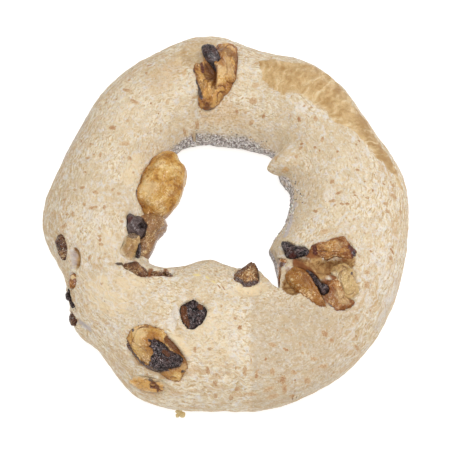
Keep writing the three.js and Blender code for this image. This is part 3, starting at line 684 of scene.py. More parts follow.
def dented(grid, normal):
    """Presses the raisins' pockets and the torn hollows into the skin, and gives back how far each one went:
    pockets, torn hollows, and those with the ledge."""
    level = grid[..., 2].copy()
    eggs = list(RAISINS.values())
    sunk = pushed_out(grid, -normal, eggs, POCKET, STEP) + pushed_out(grid, -normal, eggs, POCKET, STEP)
    sunk += pushed_out(grid, -normal, [RAISINS["socket"]], OPEN_POCKET, STEP)
    torn = pushed_out(grid, -normal, [egg for name, egg in HOLLOWS.items() if name != "ledge"], 1.0, STEP)
    smooth = torn + pushed_out(grid, -normal, [HOLLOWS["ledge"]], 1.0, STEP)
    grid[..., 2] = np.maximum(grid[..., 2], FLOOR_KEPT * (sunk > 0.5) * (level > FLOOR_KEPT))
    evened(grid, spread((sunk > 0.4).astype(float), 1) * 0.7, 4)
    evened(grid, spread((smooth > 0.3).astype(float), 1), 5)
    return sunk, torn, smooth


def gaps(first):
    """Distance from each point to the nearest egg, and to the second nearest, in millimetres or nearly so."""
    gap, next_gap = np.full(first.shape[:-1], 9.0), np.full(first.shape[:-1], 9.0)
    for egg in RAISINS.values():
        other = (depth_in(egg, first) - 1) * (egg[4] + egg[5]) / 4
        next_gap = np.minimum(next_gap, np.maximum(gap, other))
        gap = np.minimum(gap, other)
    return gap, next_gap


def glaze_share(first, degrees, angle):
    """How far each point lies in a patch with no flour on it, out to the patch's ragged edge."""
    radius = np.linalg.norm(first[..., :2], axis=-1)
    radius = radius + 0.7 * noise(first / 2.4, 21) + 0.4 * noise(first / 0.9, 22)
    glaze = np.zeros_like(radius)
    rim = eased(angle, math.radians(9), math.radians(17))
    for patch, strength in ((GLAZE, 1), (GLAZE_LEFT, 0.6)):
        at, inner, outer = np.array(patch).T
        inner, outer = (np.interp(degrees, at, edge, 0, 0) for edge in (inner, outer))
        ends = (degrees > at[0]) & (degrees < at[-1])
        share = eased(radius - inner, -0.3, 0.3) * eased(outer - radius, -0.5, 0.5) * rim
        glaze = np.maximum(glaze, strength * share * ends)
    return glaze


def meal_share(first, degrees, angle):
    """How thickly meal lies at each point."""
    meal = np.zeros_like(degrees)
    for centre, breadth, strength, highest in MEAL:
        away = np.abs((degrees - centre + 180) % 360 - 180) / breadth + 0.4 * noise(first / 4, 23)
        share = strength * eased(away, 1, 0.6) * eased(np.cos(angle), -0.35, -0.7)
        share = share * eased(first[..., 2] + 1.5 * noise(first / 1.5, 27), highest, highest - 4)
        meal = np.maximum(meal, share * (1 - eased(first[..., 2], 4, 0)))
    return meal


def dough(settings):
    """Points and faces of the dough, its marks by name, and its length and girth in millimetres as UV."""
    rounds, sections = settings.steps_round, settings.steps_section
    heading, even = np.meshgrid(np.arange(rounds) / rounds * math.tau,
                                np.arange(sections) / sections * math.tau - math.pi / 2, indexing="ij")
    angle = even + TOP_HEAVY * np.cos(even)
    grid = rope_points(heading, angle)
    spur = spurred(grid, heading)
    cut = notched(grid, heading)
    evened(grid, spread(((spur > 0.3) | cut).astype(float), 1) * 0.6, 3)
    normal = normals_of(grid)
    first = grid.copy()
    sunk, torn, smooth = dented(grid, normal)

    wobble = 0.22 * noise(grid / 1.7, 5) + 0.14 * noise(grid / 0.7, 6)
    gap, next_gap = gaps(first)
    crease = distance_to(first, CREASE) + 0.3 * wobble
    fade = eased(first[..., 0], -31, -26) + eased(first[..., 0], -38, -42) + 0.35
    upper = eased(normal[..., 2], -0.1, 0.3)
    open_skin = 1 - eased(sunk + smooth, 0.2, 0.6)

    relief = 0.30 * layered(grid / 9, 2, 1) + 0.13 * layered(grid / 2.6, 2, 2) + 0.05 * noise(grid / 0.9, 3)
    relief *= settings.relief * eased(first[..., 2], 0, 4) * open_skin
    rise, away, breadth = LIP
    lip = rise * np.exp(-((gap - away) / breadth) ** 2) * (1 + noise(grid / 2.2, 8)) * open_skin * upper
    relief += lip * (gap > -0.5)
    deep, half = CREASE_CUT
    relief -= np.minimum(fade, 1) * deep * np.exp(-(crease / half) ** 2) * upper
    relief += marked(first, DOUGH_MARKS, "ridge", wobble) - marked(first, DOUGH_MARKS, "groove", wobble)
    grid += normal * relief[..., None]
    grid[..., 2] = np.maximum(grid[..., 2], 0)
    grid[first[..., 2] <= 0, 2] = 0

    degrees = np.degrees(heading) % 360
    # The inner wall low in the hole, which gets painted shade and painted glitter.
    wall = eased(np.cos(angle), -0.6, -0.9) * eased(first[..., 2] + 2.5 * noise(first / 3, 24), 18, 12)
    values = {kind: marked(first, DOUGH_MARKS, kind, wobble) * upper
              for kind in ("flour", "bare", "crazed", "tan", "lilac", "dark")}
    # The painted shade on the inner wall darkens its tone.
    values["tone"] = marked(first, DOUGH_MARKS, "tone", 0.6 * wobble) - 0.5 * wall
    # Painted shade: dark in the crease between the lapped ends, along the marked splits, and faintly next to
    # the raisins.
    values["dark"] = np.maximum.reduce((
        values["dark"], 0.85 * eased(crease, 0.9, 0.2) * np.minimum(fade, 1) * upper,
        0.12 * eased(gap + 0.4 * wobble, 0.45, 0.0) * eased(noise(first / 3, 9), -0.4, 0.3)))
    # Painted shade, reddish brown, where the dough shows between two raisins.
    values["syrup"] = (eased(next_gap + wobble, 2.4, 0.8) * eased(gap + wobble, 1.4, 0.4)
                       * marked(first, DOUGH_MARKS, "syrup", wobble))
    values["wall"] = wall
    values["glaze"] = glaze_share(first, degrees, angle) * (1 - marked(first, DOUGH_MARKS, "rubbed", wobble))
    across, back = first[..., 0], first[..., 1]
    values["grey"] = (eased(across + 0.3 * noise(first / 1.3, 31), 6.8, 8.0) * eased(across, 42, 26)
                      * eased(back, -25.5, -30) * upper)
    # The torn hollows and torn marks: raisin-skin brown with painted shade.
    values["torn"] = np.maximum(eased(torn, 0.1, 0.5), marked(first, DOUGH_MARKS, "torn", wobble))
    values["meal"] = meal_share(first, degrees, angle)
    values["leafy"] = eased(np.cos(angle), 0.3, 0.7) * eased(first[..., 2], 4, 9)
    values["under"] = eased(first[..., 2], 5, 0.5) * eased(normal[..., 2], 0.2, -0.3)

    index = np.arange(rounds * sections).reshape(rounds, sections)
    corners = (index, np.roll(index, -1, 0), np.roll(np.roll(index, -1, 0), -1, 1), np.roll(index, -1, 1))
    faces = np.stack([corner.ravel() for corner in corners], axis=-1)
    values = {kind: value.ravel() for kind, value in values.items()}
    return grid.reshape(-1, 3), faces, values, rope_uv(rounds, sections, first)


def rope_uv(rounds, sections, grid):
    """UV of every face corner: millimetres along the rope from the crease, and round its section."""
    length = np.linalg.norm(np.diff(grid, axis=0, append=grid[:1]), axis=-1).mean(axis=1)
    along = np.concatenate(([0], np.cumsum(length)))
    girth = np.linalg.norm(np.diff(grid, axis=1, append=grid[:, :1]), axis=-1).mean(axis=0)
    around = np.concatenate(([0], np.cumsum(girth)))
    i, j = np.meshgrid(np.arange(rounds), np.arange(sections), indexing="ij")
    u = np.stack((along[i], along[i + 1], along[i + 1], along[i]), axis=-1)
    v = np.stack((around[j], around[j], around[j + 1], around[j + 1]), axis=-1)
    path = np.array(sorted(CREASE, key=lambda point: np.hypot(point[0], point[1])))
    reach = np.hypot(path[:, 0], path[:, 1])
    turn = np.degrees(np.arctan2(path[:, 1], path[:, 0])) % 360
    lap = np.interp(np.hypot(grid[..., 0], grid[..., 1]), reach, turn)
    before = (i / rounds * 360 < lap)[..., None]
    u = np.where(before, u + along[-1], u)
    return np.stack((u, v), axis=-1).reshape(-1, 2)


# ---------------------------------------------------------------- the raisins

# How the skin of each finish is folded: low lumps, depth and spacing of folds, height and spacing of blisters.
SKINS = {
    "golden": (0.55, 0.26, 2.3, 0.20, 2.0),
    "amber": (0.55, 0.30, 2.0, 0.16, 1.7),
    "brown": (0.40, 0.34, 1.3, 0.10, 1.2),
    "char": (0.40, 0.42, 1.15, 0.12, 0.9),
}


def ball(level):
    """Directions and faces of an even ball."""
    shape = bmesh.new()
    bmesh.ops.create_icosphere(shape, subdivisions=level, radius=1)
    points = np.array([corner.co[:] for corner in shape.verts])
    faces = np.array([[corner.index for corner in face.verts] for face in shape.faces])
    shape.free()
    return points / np.linalg.norm(points, axis=1, keepdims=True), faces


def raisin(part, finish, ground, settings):
    """Points, faces and marks of one raisin: an egg with folded, blistered skin, set in the ground."""
    egg = RAISINS[part]
    order = list(RAISINS).index(part)
    level = 7 if part in LARGE else 5 if part in SMALL else 6
    way, faces = ball(level)
    x, y, z = way.T
    fold = 1 + 0.05 * np.sin(4 * x + 5 * y + egg[0]) * np.cos(3 * z - 4 * y + egg[1])
    girth = fold * (1 - egg[9] * x)
    half = np.array(egg[3:6]) / 2
    skin = np.stack((x * fold, y * girth, z * girth), axis=-1) * half
    out = way / half
    out /= np.linalg.norm(out, axis=1, keepdims=True)

    lumps, deep, spacing, swollen, apart = SKINS[finish]
    small = min(1, min(egg[4:6]) / 8)
    folded = settings.folds * FOLDED.get(part, 1)
    seed = 101 * order
    warp = np.stack([noise(skin / (2.2 * spacing), seed + axis) for axis in (1, 2, 3)], axis=-1)
    lines = skin / (np.array((1.9, 1, 1)) * spacing * (0.5 + small / 2)) + 0.7 * warp
    valley = 1 - eased(np.abs(noise(lines, seed + 4)), 0.0, 0.30)
    fine = 1 - eased(np.abs(noise(lines * 2.3, seed + 5)), 0.0, 0.35)
    dome = blisters(skin / apart + 0.3 * warp, seed + 6)
    height = lumps * small * layered(skin / 5.5, 2, seed + 7)
    height += folded * small * (swollen * eased(dome, 0.2, 0.9) - deep * (valley + 0.45 * fine))
    height += 0.05 * noise(skin / 0.45, seed + 8)

    axes = turned(egg)
    points = trimmed(egg, (skin + out * height[:, None]) @ axes.T) + np.array(egg[:3])
    normal = out @ axes.T
    marks = RAISIN_MARKS.get(part, ())
    wobble = 0.35 * noise(points / 1.1, seed + 9) + 0.35 * noise(points / 0.4, seed + 10)
    dug = marked(points, marks, "groove", wobble * 0.5)
    points = points - normal * dug[:, None]

    inward = np.array(egg[:3]) - points
    inward /= np.maximum(np.linalg.norm(inward, axis=1, keepdims=True), 1e-9)
    torn = np.zeros(len(points))
    if part == "back_husk":
        torn = pushed_out(points, inward, [HOLLOWS["husk_brown"]], 1.0, FINE_STEP)
    pushed_out(points, inward, list(RAISINS.values())[:order], 1.0, FINE_STEP)
    clear = np.array([ground.find_nearest(Vector((p - MIDDLE) * MM))[3] for p in points]) / MM
    merged = MERGED.get(part, 0)
    floury = merged * eased(clear + 0.9 * wobble, 1.9, 0.2)
    for other, shape in RAISINS.items():
        if other != part:
            clear = np.minimum(clear, np.abs(depth_in(shape, points) - 1) * min(shape[3:6]) / 2)

    values = {kind: marked(points, marks, kind, wobble, SEEN) for kind in ("char", "pale", "wine")}
    rough = eased(noise(skin / 3.1, seed + 11), -0.3, 0.5)
    # Painted shade in the bottoms of the folds and grooves, and along the crease marks.
    values["crease"] = np.maximum.reduce((
        valley * (0.35 + 0.5 * rough) * folded, 0.45 * fine * rough * folded,
        marked(points, marks, "crease", wobble, SEEN),
        0.8 * np.clip(dug, 0, 1)))
    # Paler on the tops of the blisters, and painted highlights at the pale marks.
    values["pale"] = np.maximum(values["pale"], 0.55 * eased(dome, 0.55, 0.95) * (1 - rough))
    values["hollow"] = np.maximum(eased(torn, 0.05, 0.3), marked(points, marks, "hollow", 0.5 * wobble, SEEN))
    # Painted shade where the raisin meets the dough: a narrow dark seam, and a wider ruddy band (edge).
    values["seam"] = np.maximum(eased(clear + 0.6 * wobble, 0.7, 0.0) * (1 - merged),
                                marked(points, marks, "seam", wobble, SEEN))
    values["floury"] = floury
    values["edge"] = eased(clear + 0.8 * wobble, 2.4, 0.3) * (1 - merged)
    values["paler"] = np.full(len(points), float(PALER.get(part, 0)))
    values["wan"] = np.full(len(points), float(WAN.get(part, 0)))
    return points, faces, values


# ---------------------------------------------------------------- bran, meal and the crumb

def surface_of(piece):
    """A tree of the faces of a finished piece, for finding the skin under a spot."""
    mesh = piece.data
    corners = [v.co[:] for v in mesh.vertices]
    return BVHTree.FromPolygons(corners, [p.vertices[:] for p in mesh.polygons])


FLAKE_SIDES = 14
FLAKE_RINGS = (0, 0.55, 0.85, 1.08)   # shares of the flake's reach, the last one pressed into the crust
ABOVE = 0.06                          # metres, over the whole bread


def bran_flakes(tree, settings):
    """Thin flakes of bran pressed into the crust: points, faces, and how dark each one is."""
    points, faces, dark, rim = [], [], [], []
    sides = FLAKE_SIDES
    for number, (x, y, length, width, *rest) in enumerate(BRAN):
        heading, tone = (*rest, *BRAN_USUAL[len(rest):])
        turn = math.radians(heading)
        first = len(points)
        for share in FLAKE_RINGS:
            count = sides if share else 1
            for k in range(count):
                a = k / count * math.tau
                ragged = 1.15 + 0.10 * math.sin(2 * a + number) + 0.10 * math.sin(5 * a + 2.3 * number)
                u = share * ragged * math.cos(a) * length / 2
                v = share * ragged * math.sin(a) * width / 2
                spot = Vector(((x + u * math.cos(turn) - v * math.sin(turn) - MIDDLE[0]) * MM,
                               (y + u * math.sin(turn) + v * math.cos(turn) - MIDDLE[1]) * MM, ABOVE))
                place, normal, _, _ = tree.ray_cast(spot, Vector((0, 0, -1)))
                if place is None:
                    place, normal = Vector((spot.x, spot.y, 0.02)), Vector((0, 0, 1))
                lift = settings.flake_rise / MM * (1 - 2.0 * share ** 4)
                points.append(np.array(place + normal * lift * MM) / MM + MIDDLE)
                dark.append(tone)
                rim.append(share)
        start = first + 1
        faces += [(first, start + k, start + (k + 1) % sides) for k in range(sides)]
        for ring in range(len(FLAKE_RINGS) - 2):
            low, high = start + ring * sides, start + (ring + 1) * sides
            faces += [(low + k, high + k, high + (k + 1) % sides, low + (k + 1) % sides) for k in range(sides)]
    return np.array(points), faces, {"dark": np.array(dark), "rim": np.clip(np.array(rim), 0, 1)}


def crumb():
    """Points and faces of the crumb: a few rough lumps grown together."""
    way, faces = ball(4)
    points, joined = [], []
    for number, (x, y, z, radius) in enumerate(CRUMB):
        lump = way * radius * (1 + 0.25 * noise(way * 1.6, 40 + number)[:, None])
        lump = lump + np.array((x, y, z))
        lump[:, 2] = np.maximum(lump[:, 2], 0)
        joined += (faces + number * len(way)).tolist()
        points.append(lump)
    return np.concatenate(points), joined


def sown(name, ground, density, spacing, sizes, seed, material):
    """Small grains sown over a piece by Geometry Nodes, where one of its attributes is above 0."""
    tree = bpy.data.node_groups.new(name, "GeometryNodeTree")
    tree.interface.new_socket("Geometry", in_out="INPUT", socket_type="NodeSocketGeometry")
    tree.interface.new_socket("Geometry", in_out="OUTPUT", socket_type="NodeSocketGeometry")
    sockets = {}
    smallest, largest = sizes
    for label, kind, value in (("Spacing", "NodeSocketFloat", spacing), ("Seed", "NodeSocketInt", seed),
                               ("Smallest", "NodeSocketFloat", smallest),
                               ("Largest", "NodeSocketFloat", largest)):
        sockets[label] = (tree.interface.new_socket(label, in_out="INPUT", socket_type=kind), value)
    given = tree.nodes.new("NodeGroupInput").outputs
    where = node(tree, "GeometryNodeInputNamedAttribute", {"Name": density}, data_type="FLOAT")
    points = tree.nodes.new("GeometryNodeDistributePointsOnFaces")
    points.distribute_method = "POISSON"
    points.inputs["Density Max"].default_value = GRAINS_AT_MOST
    for socket, value in (("Mesh", given["Geometry"]), ("Distance Min", given["Spacing"]),
                          ("Density Factor", where), ("Seed", given["Seed"])):
        tree.links.new(value, points.inputs[socket])
    grain = node(tree, "GeometryNodeMeshIcoSphere", {"Radius": 1.0, "Subdivisions": 1})
    size = node(tree, "FunctionNodeRandomValue", {2: given["Smallest"], 3: given["Largest"],
                                                  "Seed": given["Seed"]}, out=1, data_type="FLOAT")
    shape = node(tree, "FunctionNodeRandomValue", dict(enumerate(GRAIN_SHAPES)), data_type="FLOAT_VECTOR")
    scale = node(tree, "ShaderNodeVectorMath", {0: shape, 3: size}, operation="SCALE")
    spin = node(tree, "FunctionNodeRandomValue", {
        0: (-GRAIN_TILT, -GRAIN_TILT, 0.0), 1: (GRAIN_TILT, GRAIN_TILT, math.tau)}, data_type="FLOAT_VECTOR")
    placed = node(tree, "GeometryNodeInstanceOnPoints", {
        "Points": points.outputs["Points"], "Instance": grain, "Rotation": points.outputs["Rotation"],
        "Scale": scale})
    turned_round = node(tree, "GeometryNodeRotateInstances", {"Instances": placed, "Rotation": spin})
    whole = node(tree, "GeometryNodeRealizeInstances", {"Geometry": turned_round})
    floured = node(tree, "GeometryNodeSetMaterial", {"Geometry": whole, "Material": material})
    result = tree.nodes.new("NodeGroupOutput")
    tree.links.new(floured, result.inputs["Geometry"])

    carrier = bpy.data.objects.new(name, ground.data.copy())
    bpy.context.scene.collection.objects.link(carrier)
    sowing = carrier.modifiers.new(name, "NODES")
    sowing.node_group = tree
    for socket, value in sockets.values():
        sowing[socket.identifier] = value
    graph = bpy.context.evaluated_depsgraph_get()
    mesh = bpy.data.meshes.new_from_object(carrier.evaluated_get(graph))
    carrier.modifiers.remove(sowing)
    carrier.data = mesh
    mesh.shade_smooth()
    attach(carrier, BODY)


# ---------------------------------------------------------------- materials

def node(tree, kind, inputs=None, out=0, **settings):
    """Adds a node with its settings, and its inputs as values or links, and gives back one output."""
    made = tree.nodes.new(kind)
    for name, value in settings.items():
        setattr(made, name, value)
    for socket, value in (inputs or {}).items():
        target = made.inputs[socket]
        if isinstance(value, bpy.types.NodeSocket):
            tree.links.new(value, target)
        else:
            target.default_value = value
    return made.outputs[out] if made.outputs else made


def empty_material(name):
    """A material with no nodes, and its tree."""
    material = bpy.data.materials.new(name)
    material.use_nodes = True
    material.node_tree.nodes.clear()
    return material, material.node_tree


def in_millimetres(tree):
    """Object coordinates in millimetres, for patterns at their real size."""
    place = node(tree, "ShaderNodeTexCoord", out=3)
    return node(tree, "ShaderNodeMapping", {0: place, 3: (1000, 1000, 1000)})


def rgba(colour):
    """A node colour from a property's colour or from an sRGB hex code; a node's output stays as it is."""
    if isinstance(colour, bpy.types.NodeSocket):
        return colour
    return (*(linear(colour) if isinstance(colour, str) else colour), 1.0)


def coated(tree, colour, coats):
    """A colour with coats of other colours over it, each laid on where its mask is above 0."""
    colour = rgba(colour)
    for mask, tint in coats:
        colour = node(tree, "ShaderNodeMix", {0: mask, 6: colour, 7: rgba(tint)}, out=2, data_type="RGBA")
    return colour


def ragged_mask(tree, attribute, grain, low, high, reach=0.7):
    """A mask from a painted attribute, its edge broken up by a noise."""
    painted = node(tree, "ShaderNodeAttribute", out=2, attribute_name=attribute)
    ragged = node(tree, "ShaderNodeMath", {0: grain, 1: reach, 2: -reach / 2}, operation="MULTIPLY_ADD")
    edge = node(tree, "ShaderNodeMath", {0: painted, 1: ragged}, operation="ADD")
    inside = node(tree, "ShaderNodeMapRange", {0: edge, 1: low, 2: high})
    return node(tree, "ShaderNodeMath", {0: inside, 1: painted}, operation="MULTIPLY")


def crust_material(settings):
    """Wheat dough proved under flour and baked pale: matt and cream, with painted highlights on the ridges of
    its fine folds, painted glints, bran flecks, dry cracks that let paler dough show, and one bare patch that
    took more colour. Painted shade lies on the inner wall, in the torn hollows, between raisins and in the
    crease."""
    material, tree = empty_material("floured_crust")
    mm = in_millimetres(tree)
    rope = node(tree, "ShaderNodeUVMap", uv_map="rope")
    broad, middle, cloud, grain, fine, swirl = (
        node(tree, "ShaderNodeTexNoise", {"Vector": mm, "Scale": scale, "Detail": detail, "Roughness": rough,
                                          "Distortion": warp})
        for scale, detail, rough, warp in ((0.075, 2, 0.5, 0), (0.34, 4, 0.6, 0), (0.62, 4, 0.7, 0.8),
                                           (1.5, 3, 0.65, 0), (3.6, 1, 0.5, 0), (0.8, 3, 0.5, 2.2)))

    # Wormy folds about 0.5 mm wide that run along the rope for 1.5 mm or so, as stretched dough skin dries.
    drift = node(tree, "ShaderNodeTexNoise", {"Vector": mm, "Scale": 0.3, "Detail": 2.0}, out=1)
    drift = node(tree, "ShaderNodeVectorMath", {0: drift, 1: (0.5, 0.5, 0.5)}, operation="SUBTRACT")
    drift = node(tree, "ShaderNodeVectorMath", {0: drift, 1: (3.4, 3.4, 0.0), 2: rope},
                 operation="MULTIPLY_ADD")
    fibre_at = node(tree, "ShaderNodeMapping", {0: drift, 3: (0.72, 1.9, 1.0)})
    fibres = node(tree, "ShaderNodeTexNoise", {"Vector": fibre_at, "Scale": 1.0, "Detail": 2.0,
                                               "Roughness": 0.55})
    streak_at = node(tree, "ShaderNodeMapping", {0: drift, 1: (31.0, 7.0, 0.0), 3: (0.26, 1.5, 1.0)})
    streaks = node(tree, "ShaderNodeTexNoise", {"Vector": streak_at, "Scale": 1.0, "Detail": 1.0})

    # The tone carries the painted shade on the inner wall, towards the crust's shade colour.
    painted = node(tree, "ShaderNodeAttribute", out=2, attribute_name="tone")
    tone = node(tree, "ShaderNodeMath", {0: painted, 1: 0.30, 2: broad}, operation="MULTIPLY_ADD")
    tone = node(tree, "ShaderNodeMath", {0: middle, 1: 0.95, 2: tone}, operation="MULTIPLY_ADD")
    tone = node(tree, "ShaderNodeMapRange", {0: tone, 1: 0.65, 2: 1.25})
    colour = node(tree, "ShaderNodeMix", {0: tone, 6: rgba(settings.crust_dark), 7: rgba(settings.crust)},
                  out=2, data_type="RGBA")

    # Dry cracks 2 to 5 mm apart, where the skin was stretched, with floury dough in them.
    cell_at = node(tree, "ShaderNodeMapping", {0: drift, 3: (0.19, 0.42, 1.0)})
    cracks = node(tree, "ShaderNodeTexVoronoi", {"Vector": cell_at, "Scale": 1.0}, feature="DISTANCE_TO_EDGE")
    plates = node(tree, "ShaderNodeTexVoronoi", {"Vector": cell_at, "Scale": 1.0}, out=1)
    plates = node(tree, "ShaderNodeSeparateColor", {0: plates})
    crazed = node(tree, "ShaderNodeAttribute", out=2, attribute_name="crazed")
    crack = node(tree, "ShaderNodeMath", {0: cloud, 1: -0.14, 2: cracks}, operation="MULTIPLY_ADD")
    crack = node(tree, "ShaderNodeMapRange", {0: crack, 1: 0.02, 2: -0.06, 4: 0.8})
    crack = node(tree, "ShaderNodeMath", {0: crack, 1: crazed}, operation="MULTIPLY")
    plate = node(tree, "ShaderNodeMapRange", {0: plates, 1: 0.60, 2: 0.95, 4: 0.55})
    plate = node(tree, "ShaderNodeMath", {0: plate, 1: crazed}, operation="MULTIPLY")

    # Leaf-shaped scales of 4 by 1 mm on the outer side.
    leaf_at = node(tree, "ShaderNodeMapping", {0: drift, 1: (13.0, 5.0, 0.0), 3: (0.22, 0.75, 1.0)})
    leaves = node(tree, "ShaderNodeTexVoronoi", {"Vector": leaf_at, "Scale": 1.0})
    leafy = node(tree, "ShaderNodeAttribute", out=2, attribute_name="leafy")
    leaf = node(tree, "ShaderNodeMapRange", {0: leaves, 1: 0.46, 2: 0.32, 4: 0.65})
    leaf = node(tree, "ShaderNodeMath", {0: leaf, 1: leafy}, operation="MULTIPLY")

    # Flecks of bran of 0.5 to 1 mm with a soft ragged edge, and soft dots half that size.
    fleck = node(tree, "ShaderNodeTexVoronoi", {"Vector": mm, "Scale": 0.36})
    fleck = node(tree, "ShaderNodeMath", {0: grain, 1: 0.36, 2: fleck}, operation="MULTIPLY_ADD")
    fleck = node(tree, "ShaderNodeMath", {0: middle, 1: 0.8, 2: fleck}, operation="MULTIPLY_ADD")
    fleck = node(tree, "ShaderNodeMapRange", {0: fleck, 1: 0.72, 2: 0.58, 4: 0.8})
    dot = node(tree, "ShaderNodeTexVoronoi", {"Vector": mm, "Scale": 0.52})
    dot = node(tree, "ShaderNodeMapRange", {0: dot, 1: 0.15, 2: 0.05, 4: 0.5})

    brushed = node(tree, "ShaderNodeMath", {0: middle, 1: 0.5, 2: broad}, operation="MULTIPLY_ADD")
    brushed = node(tree, "ShaderNodeMapRange", {0: brushed, 1: 0.66, 2: 0.82, 3: 0.22, 4: 1.0})
    brushed = node(tree, "ShaderNodeMath", {0: leafy, 1: 0.6, 2: brushed}, operation="MULTIPLY_ADD",
                   use_clamp=True)
    # The pale coat on the ridges of the fine folds is a painted highlight, and glitter paints small glints.
    tan_fold, fold_highlight, tan_streak, dusted, baked, glitter, pore = (
        node(tree, "ShaderNodeMapRange", {0: pattern, 1: start, 2: end, 4: most})
        for pattern, start, end, most in (
            (fibres, 0.46, 0.38, 0.95), (fibres, 0.53, 0.60, 0.85), (streaks, 0.43, 0.33, 0.55),
            (cloud, 0.52, 0.62, 0.85), (cloud, 0.47, 0.36, 0.75), (swirl, 0.55, 0.64, 0.35),
            (swirl, 0.46, 0.37, 0.35)))

    grey = node(tree, "ShaderNodeAttribute", out=2, attribute_name="grey")
    grey = node(tree, "ShaderNodeMath", {0: grey, 1: 0.5}, operation="MULTIPLY")
    bare = ragged_mask(tree, "bare", middle, 0.3, 0.8)
    smooth = node(tree, "ShaderNodeMath", {0: -0.75, 1: bare, 2: 1.0}, operation="MULTIPLY_ADD")
    brushed = node(tree, "ShaderNodeMath", {0: brushed, 1: smooth}, operation="MULTIPLY")
    coats = []
    for mask, tint, limit in (
            (bare, "#EBD5AF", None), (baked, "#DCC29A", smooth), (tan_fold, settings.crust_tan, brushed),
            (tan_streak, settings.crust_tan, smooth), (fold_highlight, settings.crust_fold_highlight, brushed),
            (dusted, "#E3DBD2", smooth), (leaf, "#CDAA80", None), (plate, "#E2C79E", None),
            (crack, "#EAE3DB", None),
            (ragged_mask(tree, "flour", cloud, 0.25, 0.85, 1.2), settings.flour, None),
            (ragged_mask(tree, "tan", middle, 0.3, 0.8), "#D3AC7A", None), (grey, "#C3AE91", None),
            (fleck, settings.bran, None), (dot, "#80604A", None), (glitter, "#F5EEE2", smooth),
            (pore, "#C7A980", smooth)):
        if limit is not None:
            mask = node(tree, "ShaderNodeMath", {0: mask, 1: limit}, operation="MULTIPLY")
        coats.append((mask, tint))
    colour = coated(tree, colour, coats)

    # The bare patch: shiny, folded, mottled from straw to brown, with painted highlights on the ridges of its
    # folds.
    glaze = ragged_mask(tree, "glaze", grain, 0.44, 0.52, 1.1)
    across_at = node(tree, "ShaderNodeMapping", {0: drift, 1: (3.0, 17.0, 0.0), 3: (0.62, 0.13, 1.0)})
    across = node(tree, "ShaderNodeTexNoise", {"Vector": across_at, "Scale": 1.0, "Detail": 4.0,
                                               "Roughness": 0.6, "Distortion": 0.3})
    gleam = node(tree, "ShaderNodeMath", {0: middle, 1: 0.8, 2: across}, operation="MULTIPLY_ADD")
    gleam = node(tree, "ShaderNodeMath", {0: painted, 1: 0.30, 2: gleam}, operation="MULTIPLY_ADD")
    gleam = node(tree, "ShaderNodeMapRange", {0: gleam, 1: 0.62, 2: 1.05})
    glazed = coated(tree, settings.glaze_dark, [(gleam, settings.glaze)] + [
        (node(tree, "ShaderNodeMapRange", {0: pattern, 1: start, 2: end, 4: most}), tint)
        for pattern, start, end, most, tint in (
            (cloud, 0.47, 0.32, 0.45, "#A8743F"), (cloud, 0.56, 0.70, 0.45, "#E4C897"),
            (across, 0.48, 0.30, 0.75, "#B0854B"), (across, 0.53, 0.70, 0.85, "#EDD8B0"))])

    # Over them painted glitter and shade on the inner wall, and painted shade: brown in the torn hollows and
    # between raisins, lilac on shaded sides and folds, and dark in the crease, the splits and next to the
    # raisins.
    wall_glitter_and_shade = node(tree, "ShaderNodeMapRange", {0: grain, 1: 0.44, 2: 0.56})
    depth = node(tree, "ShaderNodeMapRange", {0: cloud, 1: 0.38, 2: 0.60})
    wall, hollow_skin_and_shade = (
        node(tree, "ShaderNodeMix", {0: mask, 6: rgba(low), 7: rgba(high)}, out=2, data_type="RGBA")
        for mask, low, high in ((wall_glitter_and_shade, "#776A62", "#E6E0DE"), (depth, "#87592E", "#C6A06A")))
    tints = {"wall": wall, "torn": hollow_skin_and_shade, "syrup": "#8B5630", "lilac": "#CBC2C1", "under": "#D6BE98",
             "dark": "#40281B"}
    colour = coated(tree, colour, [(glaze, glazed)] + [
        (ragged_mask(tree, attribute, grain, 0.25, 0.75, 0.5), tint) for attribute, tint in tints.items()])

    folds = node(tree, "ShaderNodeMath", {0: across, 1: glaze}, operation="MULTIPLY")
    height = 0.0
    for value, rise in ((fibres, 0.45), (folds, 0.13), (grain, 0.18), (fine, 0.05), (swirl, 0.22),
                        (streaks, 0.10), (crack, 0.05), (leaf, 0.02), (fleck, 0.06)):
        height = node(tree, "ShaderNodeMath", {0: value, 1: rise, 2: height}, operation="MULTIPLY_ADD")
    bump = node(tree, "ShaderNodeBump", {"Height": height, "Distance": 0.001, "Strength": 0.85})
    rough = node(tree, "ShaderNodeMapRange", {0: glaze, 1: 0.0, 2: 1.0, 3: 0.86, 4: 0.50})
    shader = node(tree, "ShaderNodeBsdfPrincipled", {
        "Base Color": colour, "Roughness": rough, "Normal": bump, "Subsurface Weight": 0.12,
        "Subsurface Radius": (1.0, 0.6, 0.35), "Subsurface Scale": 0.0012, "Specular IOR Level": 0.35})
    node(tree, "ShaderNodeOutputMaterial", {0: shader})
    return material


